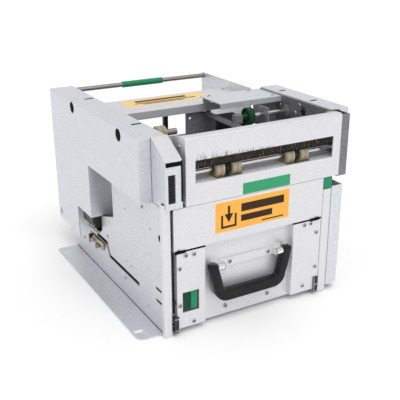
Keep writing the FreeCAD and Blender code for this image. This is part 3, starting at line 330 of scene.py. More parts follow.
zincBase = {"metallic": 0.50, "crystal": 520.0, "grain": 2400.0, "cloud": 9.0, "dark": (0.60, 0.61, 0.655),
            "light": (0.76, 0.765, 0.80), "dust": 0.12, "dustColour": (0.50, 0.49, 0.48),
            "edge": (0.90, 0.90, 0.92),
            "wearAndHighlightWidth": 0.0006, "rough": (0.34, 0.50), "bump": 0.10}
finishes = {
    "zincSheet": sheetFinish("zincSheet", zincBase),
    # lighter copy of the zinc sheet: painted light on front-facing parts
    "zincPaintedLight": sheetFinish("zincPaintedLight", {**zincBase, "dark": (0.66, 0.655, 0.68),
                                             "light": (0.79, 0.785, 0.81),
                                             "dust": 0.05, "crystal": 800.0}),
    # darker copy of the zinc sheet: painted shade on inner parts
    "zincInnerPaintedShade": sheetFinish("zincInnerPaintedShade", {**zincBase, "dark": (0.28, 0.28, 0.30),
                                           "light": (0.42, 0.42, 0.44), "dust": 0.25}),
    # still darker copy of the zinc sheet: painted shade on the right column and right transport plate
    "zincPaintedDeepShade": sheetFinish("zincPaintedDeepShade", {**zincBase, "dark": (0.13, 0.13, 0.14), "light": (0.25, 0.25, 0.265),
                                         "dust": 0.25}),
    "screwSteel": sheetFinish("screwSteel", {**zincBase, "metallic": 0.9, "dark": (0.62, 0.62, 0.64),
                                             "wearAndHighlightWidth": 0.0003,
                                             "light": (0.82, 0.82, 0.84), "rough": (0.2, 0.34)}),
    "shaftSteel": brushedFinish("shaftSteel", {"metallic": 1.0, "stretch": (30.0, 2500.0, 2500.0),
                                               "dark": (0.26, 0.25, 0.235),
                                               "light": (0.50, 0.48, 0.46), "edge": (0.8, 0.8, 0.8),
                                               "rough": (0.16, 0.28)}),
    # brighter copy of the shaft steel: painted light on the front shafts
    "shaftSteelPaintedLight": brushedFinish("shaftSteelPaintedLight", {"metallic": 1.0, "stretch": (30.0, 2500.0, 2500.0),
                                                 "dark": (0.58, 0.57, 0.55),
                                                 "light": (0.84, 0.83, 0.81), "edge": (0.9, 0.9, 0.9),
                                                 "rough": (0.10, 0.2)}),
    "chromePin": brushedFinish("chromePin", {"metallic": 1.0, "stretch": (60.0, 900.0, 900.0),
                                             "dark": (0.80, 0.80, 0.82),
                                             "light": (0.92, 0.92, 0.94), "edge": (1.0, 1.0, 1.0),
                                             "rough": (0.06, 0.12)}),
    "railAluminium": brushedFinish("railAluminium", {"metallic": 0.8, "stretch": (2200.0, 40.0, 2200.0),
                                                     "dark": (0.20, 0.20, 0.21), "light": (0.32, 0.32, 0.33),
                                                     "edge": (0.6, 0.6, 0.6), "rough": (0.32, 0.45)}),
    "wornBrass": brushedFinish("wornBrass", {"metallic": 0.9, "stretch": (900.0, 900.0, 900.0),
                                             "dark": (0.42, 0.32, 0.20),
                                             "light": (0.66, 0.54, 0.38), "edge": (0.85, 0.75, 0.58),
                                             "rough": (0.25, 0.42)}),
    "blackPlastic": mouldedFinish("blackPlastic", {"dark": (0.007, 0.006, 0.007),
                                                   "light": (0.017, 0.015, 0.017), "grain": 2600.0,
                                                   "dust": 0.03, "wearAndHighlight": 0.15, "edge": (0.14, 0.13, 0.14),
                                                   "rough": (0.26, 0.36), "bump": 0.16, "shine": 0.24}),
    "handleBlack": mouldedFinish("handleBlack", {"dark": (0.005, 0.004, 0.005),
                                                 "light": (0.012, 0.010, 0.012), "grain": 2600.0,
                                                 "dust": 0.02, "wearAndHighlight": 0.15, "edge": (0.16, 0.15, 0.16),
                                                 "rough": (0.15, 0.22), "bump": 0.12, "shine": 0.22}),
    "shadowBlack": mouldedFinish("shadowBlack", {"dark": (0.003, 0.003, 0.003),
                                                 "light": (0.007, 0.007, 0.008), "grain": 1600.0,
                                                 "dust": 0.01, "wearAndHighlight": 0.05, "edge": (0.05, 0.05, 0.05),
                                                 "rough": (0.75, 0.9), "bump": 0.2, "shine": 0.08}),
    "blackSpring": mouldedFinish("blackSpring", {"dark": (0.012, 0.012, 0.014), "light": (0.03, 0.03, 0.032),
                                                 "grain": 1200.0,
                                                 "dust": 0.08, "wearAndHighlight": 0.5, "edge": (0.35, 0.34, 0.33),
                                                 "rough": (0.32, 0.46), "bump": 0.15, "shine": 0.25}),
    # dark green for the knob, also used as painted shade over the latch pocket
    "greenDark": mouldedFinish("greenDark", {"dark": (0.0015, 0.036, 0.016), "light": (0.004, 0.072, 0.031),
                                             "grain": 1500.0, "dust": 0.03, "wearAndHighlight": 0.3,
                                             "edge": (0.05, 0.30, 0.16),
                                             "rough": (0.32, 0.45), "bump": 0.12, "shine": 0.25}),
    "greenPlastic": mouldedFinish("greenPlastic", {"dark": (0.005, 0.190, 0.085),
                                                   "light": (0.011, 0.290, 0.130),
                                                   "grain": 1500.0, "dust": 0.03, "wearAndHighlight": 0.35,
                                                   "edge": (0.08, 0.45, 0.25),
                                                   "rough": (0.30, 0.42), "bump": 0.12, "shine": 0.3}),
    "whitePlastic": mouldedFinish("whitePlastic", {"dark": (0.66, 0.66, 0.63), "light": (0.78, 0.78, 0.75),
                                                   "grain": 1500.0,
                                                   "dust": 0.12, "wearAndHighlight": 0.2, "edge": (0.9, 0.9, 0.88),
                                                   "rough": (0.35, 0.5), "bump": 0.1}),
    "greyPlastic": mouldedFinish("greyPlastic", {"dark": (0.16, 0.16, 0.17), "light": (0.24, 0.24, 0.25),
                                                 "grain": 1500.0,
                                                 "dust": 0.15, "wearAndHighlight": 0.3, "edge": (0.42, 0.42, 0.43),
                                                 "rough": (0.4, 0.55), "bump": 0.15}),
    "tanRubber": mouldedFinish("tanRubber", {"dark": (0.30, 0.25, 0.16), "light": (0.42, 0.36, 0.24),
                                             "grain": 1100.0,
                                             "dust": 0.10, "wearAndHighlight": 0.4, "edge": (0.58, 0.52, 0.38),
                                             "rough": (0.45, 0.6), "bump": 0.25}),
    "beltRubber": mouldedFinish("beltRubber", {"dark": (0.015, 0.015, 0.015), "light": (0.035, 0.035, 0.035),
                                               "grain": 1400.0,
                                               "dust": 0.15, "wearAndHighlight": 0.2, "edge": (0.12, 0.12, 0.12),
                                               "rough": (0.55, 0.7), "bump": 0.3}),
    # light tan strands that stand for highlights in the brush: painted highlight
    "bristlePaintedHighlight": mouldedFinish("bristlePaintedHighlight", {"dark": (0.20, 0.17, 0.13), "light": (0.42, 0.37, 0.29),
                                                     "grain": 900.0,
                                                     "dust": 0.05, "wearAndHighlight": 0.0, "edge": (0.6, 0.55, 0.5),
                                                     "rough": (0.3, 0.45), "bump": 0.1}),
    "bristleFibre": mouldedFinish("bristleFibre", {"dark": (0.008, 0.007, 0.006),
                                                   "light": (0.045, 0.038, 0.030), "grain": 900.0,
                                                   "dust": 0.05, "wearAndHighlight": 0.0, "edge": (0.2, 0.18, 0.15),
                                                   "rough": (0.4, 0.6), "bump": 0.1}),
    "boardGreen": mouldedFinish("boardGreen", {"dark": (0.008, 0.060, 0.028), "light": (0.014, 0.105, 0.045),
                                               "grain": 800.0,
                                               "dust": 0.12, "wearAndHighlight": 0.2, "edge": (0.3, 0.35, 0.25),
                                               "rough": (0.28, 0.4), "bump": 0.2, "coat": 0.3}),
    "labelOrange": mouldedFinish("labelOrange", {"dark": (0.86, 0.39, 0.035), "light": (0.93, 0.47, 0.065),
                                                 "grain": 1300.0,
                                                 "dust": 0.04, "wearAndHighlight": 0.2, "edge": (0.95, 0.80, 0.55),
                                                 "rough": (0.36, 0.46), "bump": 0.05}),
    "labelCream": mouldedFinish("labelCream", {"dark": (0.80, 0.66, 0.42), "light": (0.90, 0.78, 0.54),
                                               "grain": 1300.0,
                                               "dust": 0.04, "wearAndHighlight": 0.2, "edge": (0.95, 0.88, 0.72),
                                               "rough": (0.36, 0.46), "bump": 0.05}),
    "labelYellow": mouldedFinish("labelYellow", {"dark": (0.86, 0.55, 0.16), "light": (0.94, 0.66, 0.26),
                                                 "grain": 1300.0,
                                                 "dust": 0.04, "wearAndHighlight": 0.2, "edge": (0.96, 0.86, 0.62),
                                                 "rough": (0.34, 0.46), "bump": 0.05}),
    "labelGreen": mouldedFinish("labelGreen", {"dark": (0.006, 0.27, 0.105), "light": (0.016, 0.36, 0.15),
                                               "grain": 1300.0,
                                               "dust": 0.04, "wearAndHighlight": 0.2, "edge": (0.3, 0.6, 0.42),
                                               "rough": (0.34, 0.46), "bump": 0.05}),
    "printInk": mouldedFinish("printInk", {"dark": (0.030, 0.012, 0.005), "light": (0.052, 0.022, 0.009),
                                           "grain": 1600.0,
                                           "dust": 0.03, "wearAndHighlight": 0.0, "edge": (0.1, 0.05, 0.02),
                                           "rough": (0.4, 0.5), "bump": 0.03, "shine": 0.15}),
}
print("finishes ready:", len(finishes))

# each node of the fixed frame takes its finish here; the lighter zinc copy paints light on front-facing
# parts, the darker zinc copies paint shade on inner parts, and the bright shaft copy paints light on the
# front shafts
nodeFinish = {
    "zincPaintedLight": ["upper_front_panel", "bin_front_plate", "bin_upper_front", "bin_left_block",
                   "bin_right_block",
                   "left_sloped_plate", "handle_bracket", "front_posts", "cross_tray", "guide_plates"],
    "zincInnerPaintedShade": ["bay_roof_plate", "bay_rear_plate", "bin_rails", "inner_brackets", "bin_shutter",
                  "left_transport_plate", "gate_vane"],
    "zincPaintedDeepShade": ["right_column", "right_transport_plate"],
    "shaftSteelPaintedLight": ["front_roller_shaft", "knob_shaft"],
    "shaftSteel": ["rear_cross_rod", "upper_shaft", "motor_shaft", "gate_shaft",
                   "lock_bracket"],
    "screwSteel": ["frame_screws", "bin_screws"],
    "chromePin": ["handle_pins"],
    "railAluminium": ["centre_rail", "brush_holder"],
    "wornBrass": ["lock_lever"],
    "blackPlastic": ["docking_connector", "sensor_heads", "sensor_modules", "solenoids", "bin_handle",
                     "drive_motor"],
    "greenDark": ["jam_knob"],
    "blackSpring": ["bin_clips"],
    "greenPlastic": ["rod_sleeve", "release_tab", "bin_latch"],
    "greyPlastic": ["front_pulleys", "microswitches", "shaft_bushes"],
    "tanRubber": ["front_rollers", "upper_roller"],
    "beltRubber": ["timing_belts"],
    "bristleFibre": ["brush_bristles"],
    "boardGreen": ["control_board"],
}


def dressNodes():
    chosen = {node: finish for finish, names in nodeFinish.items() for node in names}
    for name, obj in nodes.items():
        obj.data.materials.clear()
        obj.data.materials.append(finishes[chosen.get(name, "zincSheet")])


dressNodes()

# mesh helpers


def addPiece(name, mesh, finish, body, stands=(), smooth=35):
    bmesh.ops.recalc_face_normals(mesh, faces=mesh.faces)
    data = bpy.data.meshes.new(name)
    mesh.to_mesh(data)
    mesh.free()
    data.materials.append(finishes[finish])
    if smooth:
        data.polygons.foreach_set("use_smooth", [True] * len(data.polygons))
        data.set_sharp_from_angle(angle=math.radians(smooth))
    obj = bpy.data.objects.new(name, data)
    bpy.context.scene.collection.objects.link(obj)
    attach(obj, body)
    if stands:
        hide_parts(*stands)
    return obj


def bridgeRings(mesh, rings, capped=True, looped=False):
    verts = [[mesh.verts.new(point) for point in ring] for ring in rings]
    count = len(verts[0])
    last = len(verts) if looped else len(verts) - 1
    for index in range(last):
        first, second = verts[index], verts[(index + 1) % len(verts)]
        for k in range(count):
            mesh.faces.new((first[k], first[(k + 1) % count], second[(k + 1) % count], second[k]))
    if capped and not looped:
        mesh.faces.new(verts[0][::-1])
        mesh.faces.new(verts[-1])


def addBrick(mesh, low, high, bevel=0.0):
    made = bmesh.ops.create_cube(mesh, size=1.0)["verts"]
    low, high = Vector(low), Vector(high)
    for vert in made:
        vert.co = Vector([low[i] + (high[i] - low[i]) * (vert.co[i] + 0.5) for i in range(3)])
    if bevel:
        edges = list({edge for vert in made for edge in vert.link_edges})
        bmesh.ops.bevel(mesh, geom=edges, offset=bevel, segments=2, profile=0.5, affect="EDGES")


def addLathe(mesh, outline, centre, axis, steps=32):
    centre = Vector(centre)
    along = Vector([float(letter == axis) for letter in "xyz"])
    side = Vector((0, 0, 1)) if axis != "z" else Vector((1, 0, 0))
    other = along.cross(side)
    angles = [2 * math.pi * k / steps for k in range(steps)]
    spokes = [side * math.cos(angle) + other * math.sin(angle) for angle in angles]
    rings = [[centre + along * reach + spoke * radius for spoke in spokes] for reach, radius in outline]
    bridgeRings(mesh, rings)


def addTube(mesh, points, radius, sides=8, taper=1.0):
    points = [Vector(p) for p in points]
    rings = []
    for index, point in enumerate(points):
        before, after = points[max(index - 1, 0)], points[min(index + 1, len(points) - 1)]
        heading = (after - before).normalized()
        if index == 0:
            side = heading.orthogonal().normalized()
        else:
            side = (lastSide - heading * lastSide.dot(heading)).normalized()
        lastSide = side
        other = heading.cross(side)
        size = radius * (1 + (taper - 1) * index / (len(points) - 1))
        angles = [2 * math.pi * k / sides for k in range(sides)]
        rings.append([point + (side * math.cos(a) + other * math.sin(a)) * size for a in angles])
    bridgeRings(mesh, rings)


def roundedRectangle(low, high, radius, steps=5):
    (x0, z0), (x1, z1) = low, high
    corners = [(x1 - radius, z1 - radius, 0), (x0 + radius, z1 - radius, 90), (x0 + radius, z0 + radius, 180),
               (x1 - radius, z0 + radius, 270)]
    points = []
    for cx, cz, start in corners:
        for k in range(steps + 1):
            angle = math.radians(start + 90 * k / steps)
            points.append((cx + radius * math.cos(angle), cz + radius * math.sin(angle)))
    return points


def addSlab(mesh, outline, plane, near, far):
    def at(point, depth):
        a, b = point
        return {"xz": (a, depth, b), "xy": (a, b, depth), "yz": (depth, a, b)}[plane]

    bridgeRings(mesh, [[at(point, near) for point in outline], [at(point, far) for point in outline]])


def middleOf(node):
    low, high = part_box(node)
    return (low + high) / 2


def fromCorner(place, offset):
    # a place is a node and a letter per axis, l or h, for the low or high side of its box
    # the corner comes from the frame; the offset, in mm, is only an estimate of the real unit
    node, letters = place
    low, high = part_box(node)
    corner = Vector([low[i] if letters[i] == "l" else high[i] for i in range(3)])
    return corner + Vector(offset) * mm


# the carrying handle: a moulded U that hangs from its two upper ends

handleShape = {"outerTop": 60.2 * mm, "outerLow": 51.8 * mm, "innerTop": 48.8 * mm, "innerLow": 40.2 * mm,
               "grip": 15.2 * mm,
               "outerRound": 18.0 * mm, "innerRound": 4.5 * mm, "sectionPower": 5.5, "sectionSteps": 36}


def handleStations(shape, low, high):
    # pairs of inner and outer points, from the left upper end round to the right one
    bottom, top = low.z + 0.15 * mm, high.z - 0.1 * mm
    gripTop = bottom + shape["grip"]
    pairs = []
    for share in (0.0, 0.03, 0.08, 0.2, 0.4, 0.6, 0.8):
        level = top + (gripTop + shape["innerRound"] - top) * share
        outer = shape["outerTop"] + (shape["outerLow"] - shape["outerTop"]) * share * 0.8
        inner = shape["innerTop"] + (shape["innerLow"] - shape["innerTop"]) * share
        pairs.append(((-inner, level), (-outer, level)))
    innerX, innerZ = -shape["innerLow"] + shape["innerRound"], gripTop + shape["innerRound"]
    outerX, outerZ = -shape["outerLow"] + shape["outerRound"], bottom + shape["outerRound"]
    for k in range(11):
        angle = math.radians(180 + 9 * k)
        pairs.append(((innerX + shape["innerRound"] * math.cos(angle),
                       innerZ + shape["innerRound"] * math.sin(angle)),
                      (outerX + shape["outerRound"] * math.cos(angle),
                       outerZ + shape["outerRound"] * math.sin(angle))))
    for share in (0.35, 0.7, 1.0):
        pairs.append(((innerX * (1 - share), gripTop), (outerX * (1 - share), bottom)))
    mirrored = [((-ix, iz), (-ox, oz)) for (ix, iz), (ox, oz) in pairs[:-1]]
    return pairs + mirrored[::-1]


def makeHandle(shape):
    low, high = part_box("bin_handle")
    centreX, centreY, depth = (low.x + high.x) / 2, (low.y + high.y) / 2, (high.y - low.y) / 2 - 0.1 * mm
    mesh = bmesh.new()
    rings = []
    pairs = handleStations(shape, low, high)
    endScale = {0: 0.78, 1: 0.93, 2: 0.99}
    for index, (inner, outer) in enumerate(pairs):
        inner, outer = Vector(inner), Vector(outer)
        middle, half = (inner + outer) / 2, (outer - inner) / 2
        size = endScale.get(min(index, len(pairs) - 1 - index), 1.0)
        ring = []
        for k in range(shape["sectionSteps"]):
            angle = 2 * math.pi * k / shape["sectionSteps"]
            across = math.copysign(abs(math.cos(angle)) ** (2 / shape["sectionPower"]),
                                   math.cos(angle)) * size
            deep = math.copysign(abs(math.sin(angle)) ** (2 / shape["sectionPower"]), math.sin(angle)) * size
            spot = middle + half * across
            ring.append(Vector((centreX + spot.x, centreY + depth * deep, spot.y)))
        rings.append(ring)
    bridgeRings(mesh, rings)
    handle = addPiece("carryHandle", mesh, "handleBlack", "bin_handle", ["bin_handle"],
                      smooth=50)
    return handle


makeHandle(handleShape)

# the brush over the rollers

brushShape = {"rows": 5, "perRow": 300, "thick": 0.19 * mm, "shortest": 7.6 * mm, "longest": 12.0 * mm,
              "lean": 4.2 * mm,
              "glintShare": 0.09, "strays": 75, "strayLeft": 6.0 * mm, "strayWidth": 105 * mm}


def makeBrush(shape):
    low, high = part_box("brush_bristles")
    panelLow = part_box("upper_front_panel")[0]
    draw = random.Random(11)
    dark, glintStrands = bmesh.new(), bmesh.new()
    for row in range(shape["rows"]):
        depth = low.y + 0.2 * mm + (high.y - low.y - 0.4 * mm) * row / (shape["rows"] - 1)
        for k in range(shape["perRow"]):
            start = low.x + 0.5 * mm + (high.x - low.x - 1.0 * mm) * (k + draw.random()) / shape["perRow"]
            length = draw.uniform(shape["shortest"], shape["longest"])
            lean, sway = draw.gauss(0, 0.4) * shape["lean"], draw.uniform(-0.8, 0.6) * mm
            points = [(start, depth, high.z), (start + lean * 0.35, depth + sway * 0.3,
                                               high.z - length * 0.5),
                      (start + lean, depth + sway, high.z - length)]
            mesh = glintStrands if draw.random() < shape["glintShare"] else dark
            addTube(mesh, points, shape["thick"], sides=3, taper=0.5)
    addPiece("feedBrush", dark, "bristleFibre", "chassis", ["brush_bristles"])
    # a share of the strands in the light tan finish: painted highlights among the dark bristles
    addPiece("brushGlints", glintStrands, "bristlePaintedHighlight", "chassis")
    # a black sheet behind the bristles: painted shade in the window
    mesh = bmesh.new()
    addBrick(mesh, (low.x, 0.4 * mm + high.y, low.z + 1.2 * mm), (high.x, 0.7 * mm + high.y, high.z),
             0.05 * mm)
    addPiece("brushShadeSheet", mesh, "shadowBlack", "chassis")
    mesh = bmesh.new()
    face, sill = panelLow.y - 0.3 * mm, high.z - 1.4 * mm
    for k in range(shape["strays"]):
        start = low.x + shape["strayLeft"] + (k + draw.uniform(-3, 3)) / shape["strays"] * shape["strayWidth"]
        tip = sill + draw.uniform(0.5, 9) * (1.1 - 0.8 * k / shape["strays"]) * mm
        lean = draw.uniform(-1.6, 1.8) * mm
        points = [(start - lean, low.y, sill - 6 * mm), (start, face, sill - 1.2 * mm),
                  (start, face - 0.2 * mm, sill + 2 * mm),
                  (start + lean, face, tip)]
        addTube(mesh, points, shape["thick"] * 0.85, sides=3, taper=0.5)
    addPiece("strayBristles", mesh, "bristleFibre", "chassis")


makeBrush(brushShape)

# dark hubs between the paired feed rollers

hubShape = {"radius": 7.6 * mm, "half": 4.7 * mm, "centres": (17.0, 116.5), "flange": 9.2 * mm}


def makeRollerHubs(shape):
    axle = middleOf("front_roller_shaft")
    mesh = bmesh.new()
    for centre in shape["centres"]:
        half, radius, flange = shape["half"], shape["radius"], shape["flange"]
        outline = [(-half, 4.1 * mm), (-half, radius), (-half * 0.45, radius), (-half * 0.4, flange),
                   (half * 0.4, flange),
                   (half * 0.45, radius), (half, radius), (half, 4.1 * mm)]
        across = fromCorner(("front_rollers", "lll"), (centre, 0, 0)).x
        addLathe(mesh, outline, (across, axle.y, axle.z), "x", steps=40)
    addPiece("rollerHubs", mesh, "blackPlastic", "feed_roller")


makeRollerHubs(hubShape)

# labels, with plain generic marks in place of words

labelSetup = {
    "binLabel": {"low": (54.5, 10.5), "high": (162.0, 49.6), "rim": 0.7 * mm, "finish": "labelOrange"},
    "panelLabel": {"low": (76.5, 0.7), "high": (145.0, 14.8), "rim": 0.0, "finish": "labelGreen"},
    "trayLabel": {"low": (38.0, 33.0), "high": (168.0, 68.0)},
}
labelThick = 0.12 * mm


def labelCorners(setup, node):
    low = fromCorner((node, "lll"), (setup["low"][0], 0, setup["low"][1]))
    high = fromCorner((node, "lll"), (setup["high"][0], 0, setup["high"][1]))
    return (low.x, low.z), (high.x, high.z)


def makeFrontLabel(name, setup, node, body):
    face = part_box(node)[0].y
    low, high = labelCorners(setup, node)
    if setup["rim"]:
        mesh = bmesh.new()
        addSlab(mesh, roundedRectangle(low, high, 0.8 * mm), "xz", face, face - 0.06 * mm)
        addPiece(name + "Rim", mesh, "labelCream", body, smooth=0)
    mesh = bmesh.new()
    low, high = [value + setup["rim"] for value in low], [value - setup["rim"] for value in high]
    addSlab(mesh, roundedRectangle(low, high, 0.5 * mm), "xz", face, face - labelThick)
    addPiece(name, mesh, setup["finish"], body, smooth=0)
    return face - labelThick


def makeBinMarks(setup, face):
    # a down arrow over an open tray, then two thick bars and one thin one
    (x0, z0), (x1, z1) = labelCorners(setup, "bin_upper_front")
    width, height = x1 - x0, z1 - z0
    mesh = bmesh.new()

    def bar(left, right, bottom, top):
        addBrick(mesh, (x0 + width * left, face - labelThick, z0 + height * bottom),
                 (x0 + width * right, face, z0 + height * top))

    bar(0.08, 0.105, 0.2, 0.56)
    bar(0.255, 0.28, 0.2, 0.56)
    bar(0.08, 0.28, 0.13, 0.2)
    bar(0.166, 0.194, 0.55, 0.84)
    tip = [(x0 + width * 0.18, z0 + height * 0.30), (x0 + width * 0.235, z0 + height * 0.58),
           (x0 + width * 0.125, z0 + height * 0.58)]
    addSlab(mesh, tip, "xz", face - labelThick, face)
    bar(0.34, 0.92, 0.56, 0.82)
    bar(0.34, 0.76, 0.24, 0.45)
    bar(0.62, 0.92, 0.10, 0.14)
    addPiece("binLabelMarks", mesh, "printInk", "bin", smooth=0)


def makeTrayLabel(setup):
    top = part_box("cross_tray")[1].z
    low, high = [fromCorner(("cross_tray", "lll"), (*setup[end], 0))[:2] for end in ("low", "high")]
    mesh = bmesh.new()
    addSlab(mesh, roundedRectangle(low, high, 1.0 * mm), "xy", top, top + labelThick)
    addPiece("trayLabel", mesh, "labelYellow", "chassis", smooth=0)
    mesh = bmesh.new()
    width, depth = high[0] - low[0], high[1] - low[1]
    for left, right, near, far in ((0.16, 0.78, 0.54, 0.78), (0.12, 0.86, 0.30, 0.40),
                                   (0.20, 0.70, 0.14, 0.22)):
        addBrick(mesh, (low[0] + width * left, low[1] + depth * near, top + labelThick),
                 (low[0] + width * right, low[1] + depth * far, top + 2 * labelThick))
    addPiece("trayLabelMarks", mesh, "printInk", "chassis", smooth=0)


makeBinMarks(labelSetup["binLabel"], makeFrontLabel("binLabel", labelSetup["binLabel"], "bin_upper_front",
                                                    "bin"))
makeFrontLabel("panelLabel", labelSetup["panelLabel"], "upper_front_panel", "chassis")
makeTrayLabel(labelSetup["trayLabel"])
print("handle, brush, hubs and labels ready")

# black sheets of painted shade seen through the slots, holes and seams and along the gaps by the column,
# black bits at the bin hinge corners and a black line along the foot of the side plate

leftPlate, leftCover, rightCover = ("left_side_plate", "hll"), ("left_upper_cover",
                                                                "llh"), ("right_upper_cover", "llh")
columnFoot, upperBin = ("left_column", "lll"), ("bin_upper_front", "lll")
shadeSheets = {
    "sideSlotShade": {"body": "chassis", "bricks": [(leftPlate, (0.2, 7.5, 33.2), (0.6, 251.0, 58.6)),
                                                 (leftPlate, (0.2, 6.0, 120.5), (0.6, 18.0, 132.0))]},
    "slotShadeFill": {"body": "chassis", "bricks": [(leftPlate, (-1.0, 9.9, 54.9), (0.6, 26.1, 58.1)),
                                                (leftPlate, (-1.0, 9.9, 38.6), (0.6, 26.1, 41.8))]},
    "topSlotShade": {"body": "chassis", "bricks": [(leftCover, (19.4, 56.3, -2.3), (31.6, 61.7, -0.2)),
                                                (leftCover, (19.4, 208.8, -2.3), (31.6, 214.2, -0.2)),
                                                (rightCover, (6.1, 49.0, -2.3), (17.4, 54.0, -0.2)),
                                                (rightCover, (6.1, 119.5, -2.3), (17.4, 124.5, -0.2))]},
    "columnGapShade": {"body": "chassis", "bricks": [(columnFoot, (0.4, -0.7, 50.6), (20.8, 0.0, 55.3)),
                                                 (columnFoot, (19.4, -0.6, 8.0), (21.1, 2.4, 50.6))]},
    "flangeSeam": {"body": "chassis", "bricks": [(leftPlate, (-2.1, 11.0, 1.5), (-1.5, 304.0, 1.9))]},
    "hingeBits": {"body": "bin", "bricks": [(upperBin, (1.3, -1.2, -3.1), (14.9, -0.1, 0.5)),
                                            (upperBin, (4.1, -1.8, -2.4), (7.7, -0.1, 1.1)),
                                            (upperBin, (196.9, -1.2, -3.1), (210.9, -0.1, 0.5)),
                                            (upperBin, (204.7, -1.8, -2.6), (208.3, -0.1, 1.0))]},
    "seamShadows": {"body": "bin", "bricks": [(upperBin, (3.5, 0.08, -2.4), (42.0, 5.5, -0.1)),
                                              (upperBin, (170.5, 0.08, -2.4), (214.5, 5.5, -0.1))]},
    "cornerHoleShade": {"body": "chassis", "bricks": [(("left_upper_cover", "lhl"), (1.8, -15.8, 10.0),
                                                    (2.4, -5.8, 24.0))]},
}


def makeShadeSheets(pieces):
    for name, setup in pieces.items():
        mesh = bmesh.new()
        for place, low, high in setup["bricks"]:
            addBrick(mesh, fromCorner(place, low), fromCorner(place, high), 0.08 * mm)
        addPiece(name, mesh, "shadowBlack", setup["body"], smooth=0)


makeShadeSheets(shadeSheets)

# black discs inside the round holes of the side plate and the cover: painted shade in the holes
holeShadeShape = {"thick": 0.9, "shadeDiscs": ((leftPlate, (-1.1, 12.4, 126.0), 4.3),
                                     (leftCover, (0.5, 55.0, -8.9), 7.7),
                                     (leftCover, (0.5, 211.0, -8.9), 7.7))}


def makeHoleShadeDiscs(shape):
    mesh = bmesh.new()
    for place, offset, radius in shape["shadeDiscs"]:
        outline = [(0.0, radius * 0.96), (0.2, radius), (shape["thick"], radius)]
        addLathe(mesh, [(reach * mm, size * mm) for reach, size in outline], fromCorner(place, offset), "x",
                 steps=36)
    addPiece("holeShadeDiscs", mesh, "shadowBlack", "chassis")


makeHoleShadeDiscs(holeShadeShape)

capShape = {"near": -0.2, "far": 34.2, "low": 0.6, "rise": 19.4, "left": 19.9, "right": 21.3, "thick": 1.5}


def makeCapGapShade(shape):
    # a black strip that follows the slope of the cap on its right side: painted shade in the gap there
    mesh = bmesh.new()
    near, far, low, high = shape["near"], shape["far"], shape["low"], shape["low"] + shape["rise"]
    line = [(near, low - shape["thick"]), (far, high - shape["thick"]), (far, high + 0.4), (near, low + 0.4)]
    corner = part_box("left_sloped_plate")[0]
    outline = [(corner.y + y * mm, corner.z + z * mm) for y, z in line]
    addSlab(mesh, outline, "yz", corner.x + shape["left"] * mm, corner.x + shape["right"] * mm)
    addPiece("capGapShade", mesh, "shadowBlack", "chassis", smooth=0)


makeCapGapShade(capShape)

# screw details: a thin black ring round each head as a painted shadow, and a black cross in its recess as
# painted shade

screwShape = {"ringOut": 1.05, "ringHigh": 0.07 * mm, "crossLong": 0.42, "crossWide": 0.11,
              "crossDepth": 0.66}


def islandBoxes(mesh):
    work = bmesh.new()
    work.from_mesh(mesh)
    left, boxes = set(work.verts), []
    while left:
        stack, low, high = [left.pop()], Vector((1e9,) * 3), Vector((-1e9,) * 3)
        while stack:
            vert = stack.pop()
            low = Vector([min(low[i], vert.co[i]) for i in range(3)])
            high = Vector([max(high[i], vert.co[i]) for i in range(3)])
            for edge in vert.link_edges:
                other = edge.other_vert(vert)
                if other in left:
                    left.remove(other)
                    stack.append(other)
        boxes.append((low, high))
    work.free()
    return sorted(boxes, key=lambda box: (*box[0], *box[1]))


def makeScrewShade(node, name, body, shape):
    boxes = {}
    for low, high in islandBoxes(nodes[node].data):
        size = high - low
        if max(size) < 8 * mm:
            boxes[tuple(round(value, 5) for value in (low + high) / 2)] = (low, high)
    mesh = bmesh.new()
    for low, high in boxes.values():
        size, centre = high - low, (low + high) / 2
        axis = min(range(3), key=lambda i: size[i])
        sign = 1 if axis == 2 else -1
        seat = low[axis] if sign > 0 else high[axis]
        radius = max(size) / 2
        spot = centre.copy()
        spot[axis] = seat
        # painted shadow ring just outside the head
        ring = radius * shape["ringOut"]
        outline = [(0.01 * mm * sign, ring), (shape["ringHigh"] * sign, ring),
                   (shape["ringHigh"] * sign, radius * 0.9)]
        addLathe(mesh, outline, spot, "xyz"[axis], steps=20)
        # black cross: painted shade in the recess
        top = seat + sign * size[axis] * shape["crossDepth"]
        sides = [i for i in range(3) if i != axis]
        for longSide, shortSide in (sides, sides[::-1]):
            first, second = centre.copy(), centre.copy()
            for side, share in ((longSide, shape["crossLong"]), (shortSide, shape["crossWide"])):
                first[side] -= radius * share
                second[side] += radius * share
            first[axis], second[axis] = sorted((top - sign * 0.4 * mm, top))
            addBrick(mesh, first, second)
    addPiece(name, mesh, "blackSpring", body, smooth=0)


makeScrewShade("bin_screws", "binScrewShade", "bin", screwShape)
makeScrewShade("frame_screws", "frameScrewShade", "chassis", screwShape)

# the lock's slider, its guide block and studs on the left side plate

lockShape = {"slider": ((-1.1, 8.6, 14.9), (-0.3, 43.6, 19.2)),
             "block": ((-2.1, -14.8, 1.2), (-0.2, -0.6, 12.6)),
             "studs": ((9.5, 21.5, 1.7), (21.5, 23.2, 2.3), (33.5, 10.5, 2.3), (38.5, 23.4, 2.3))}


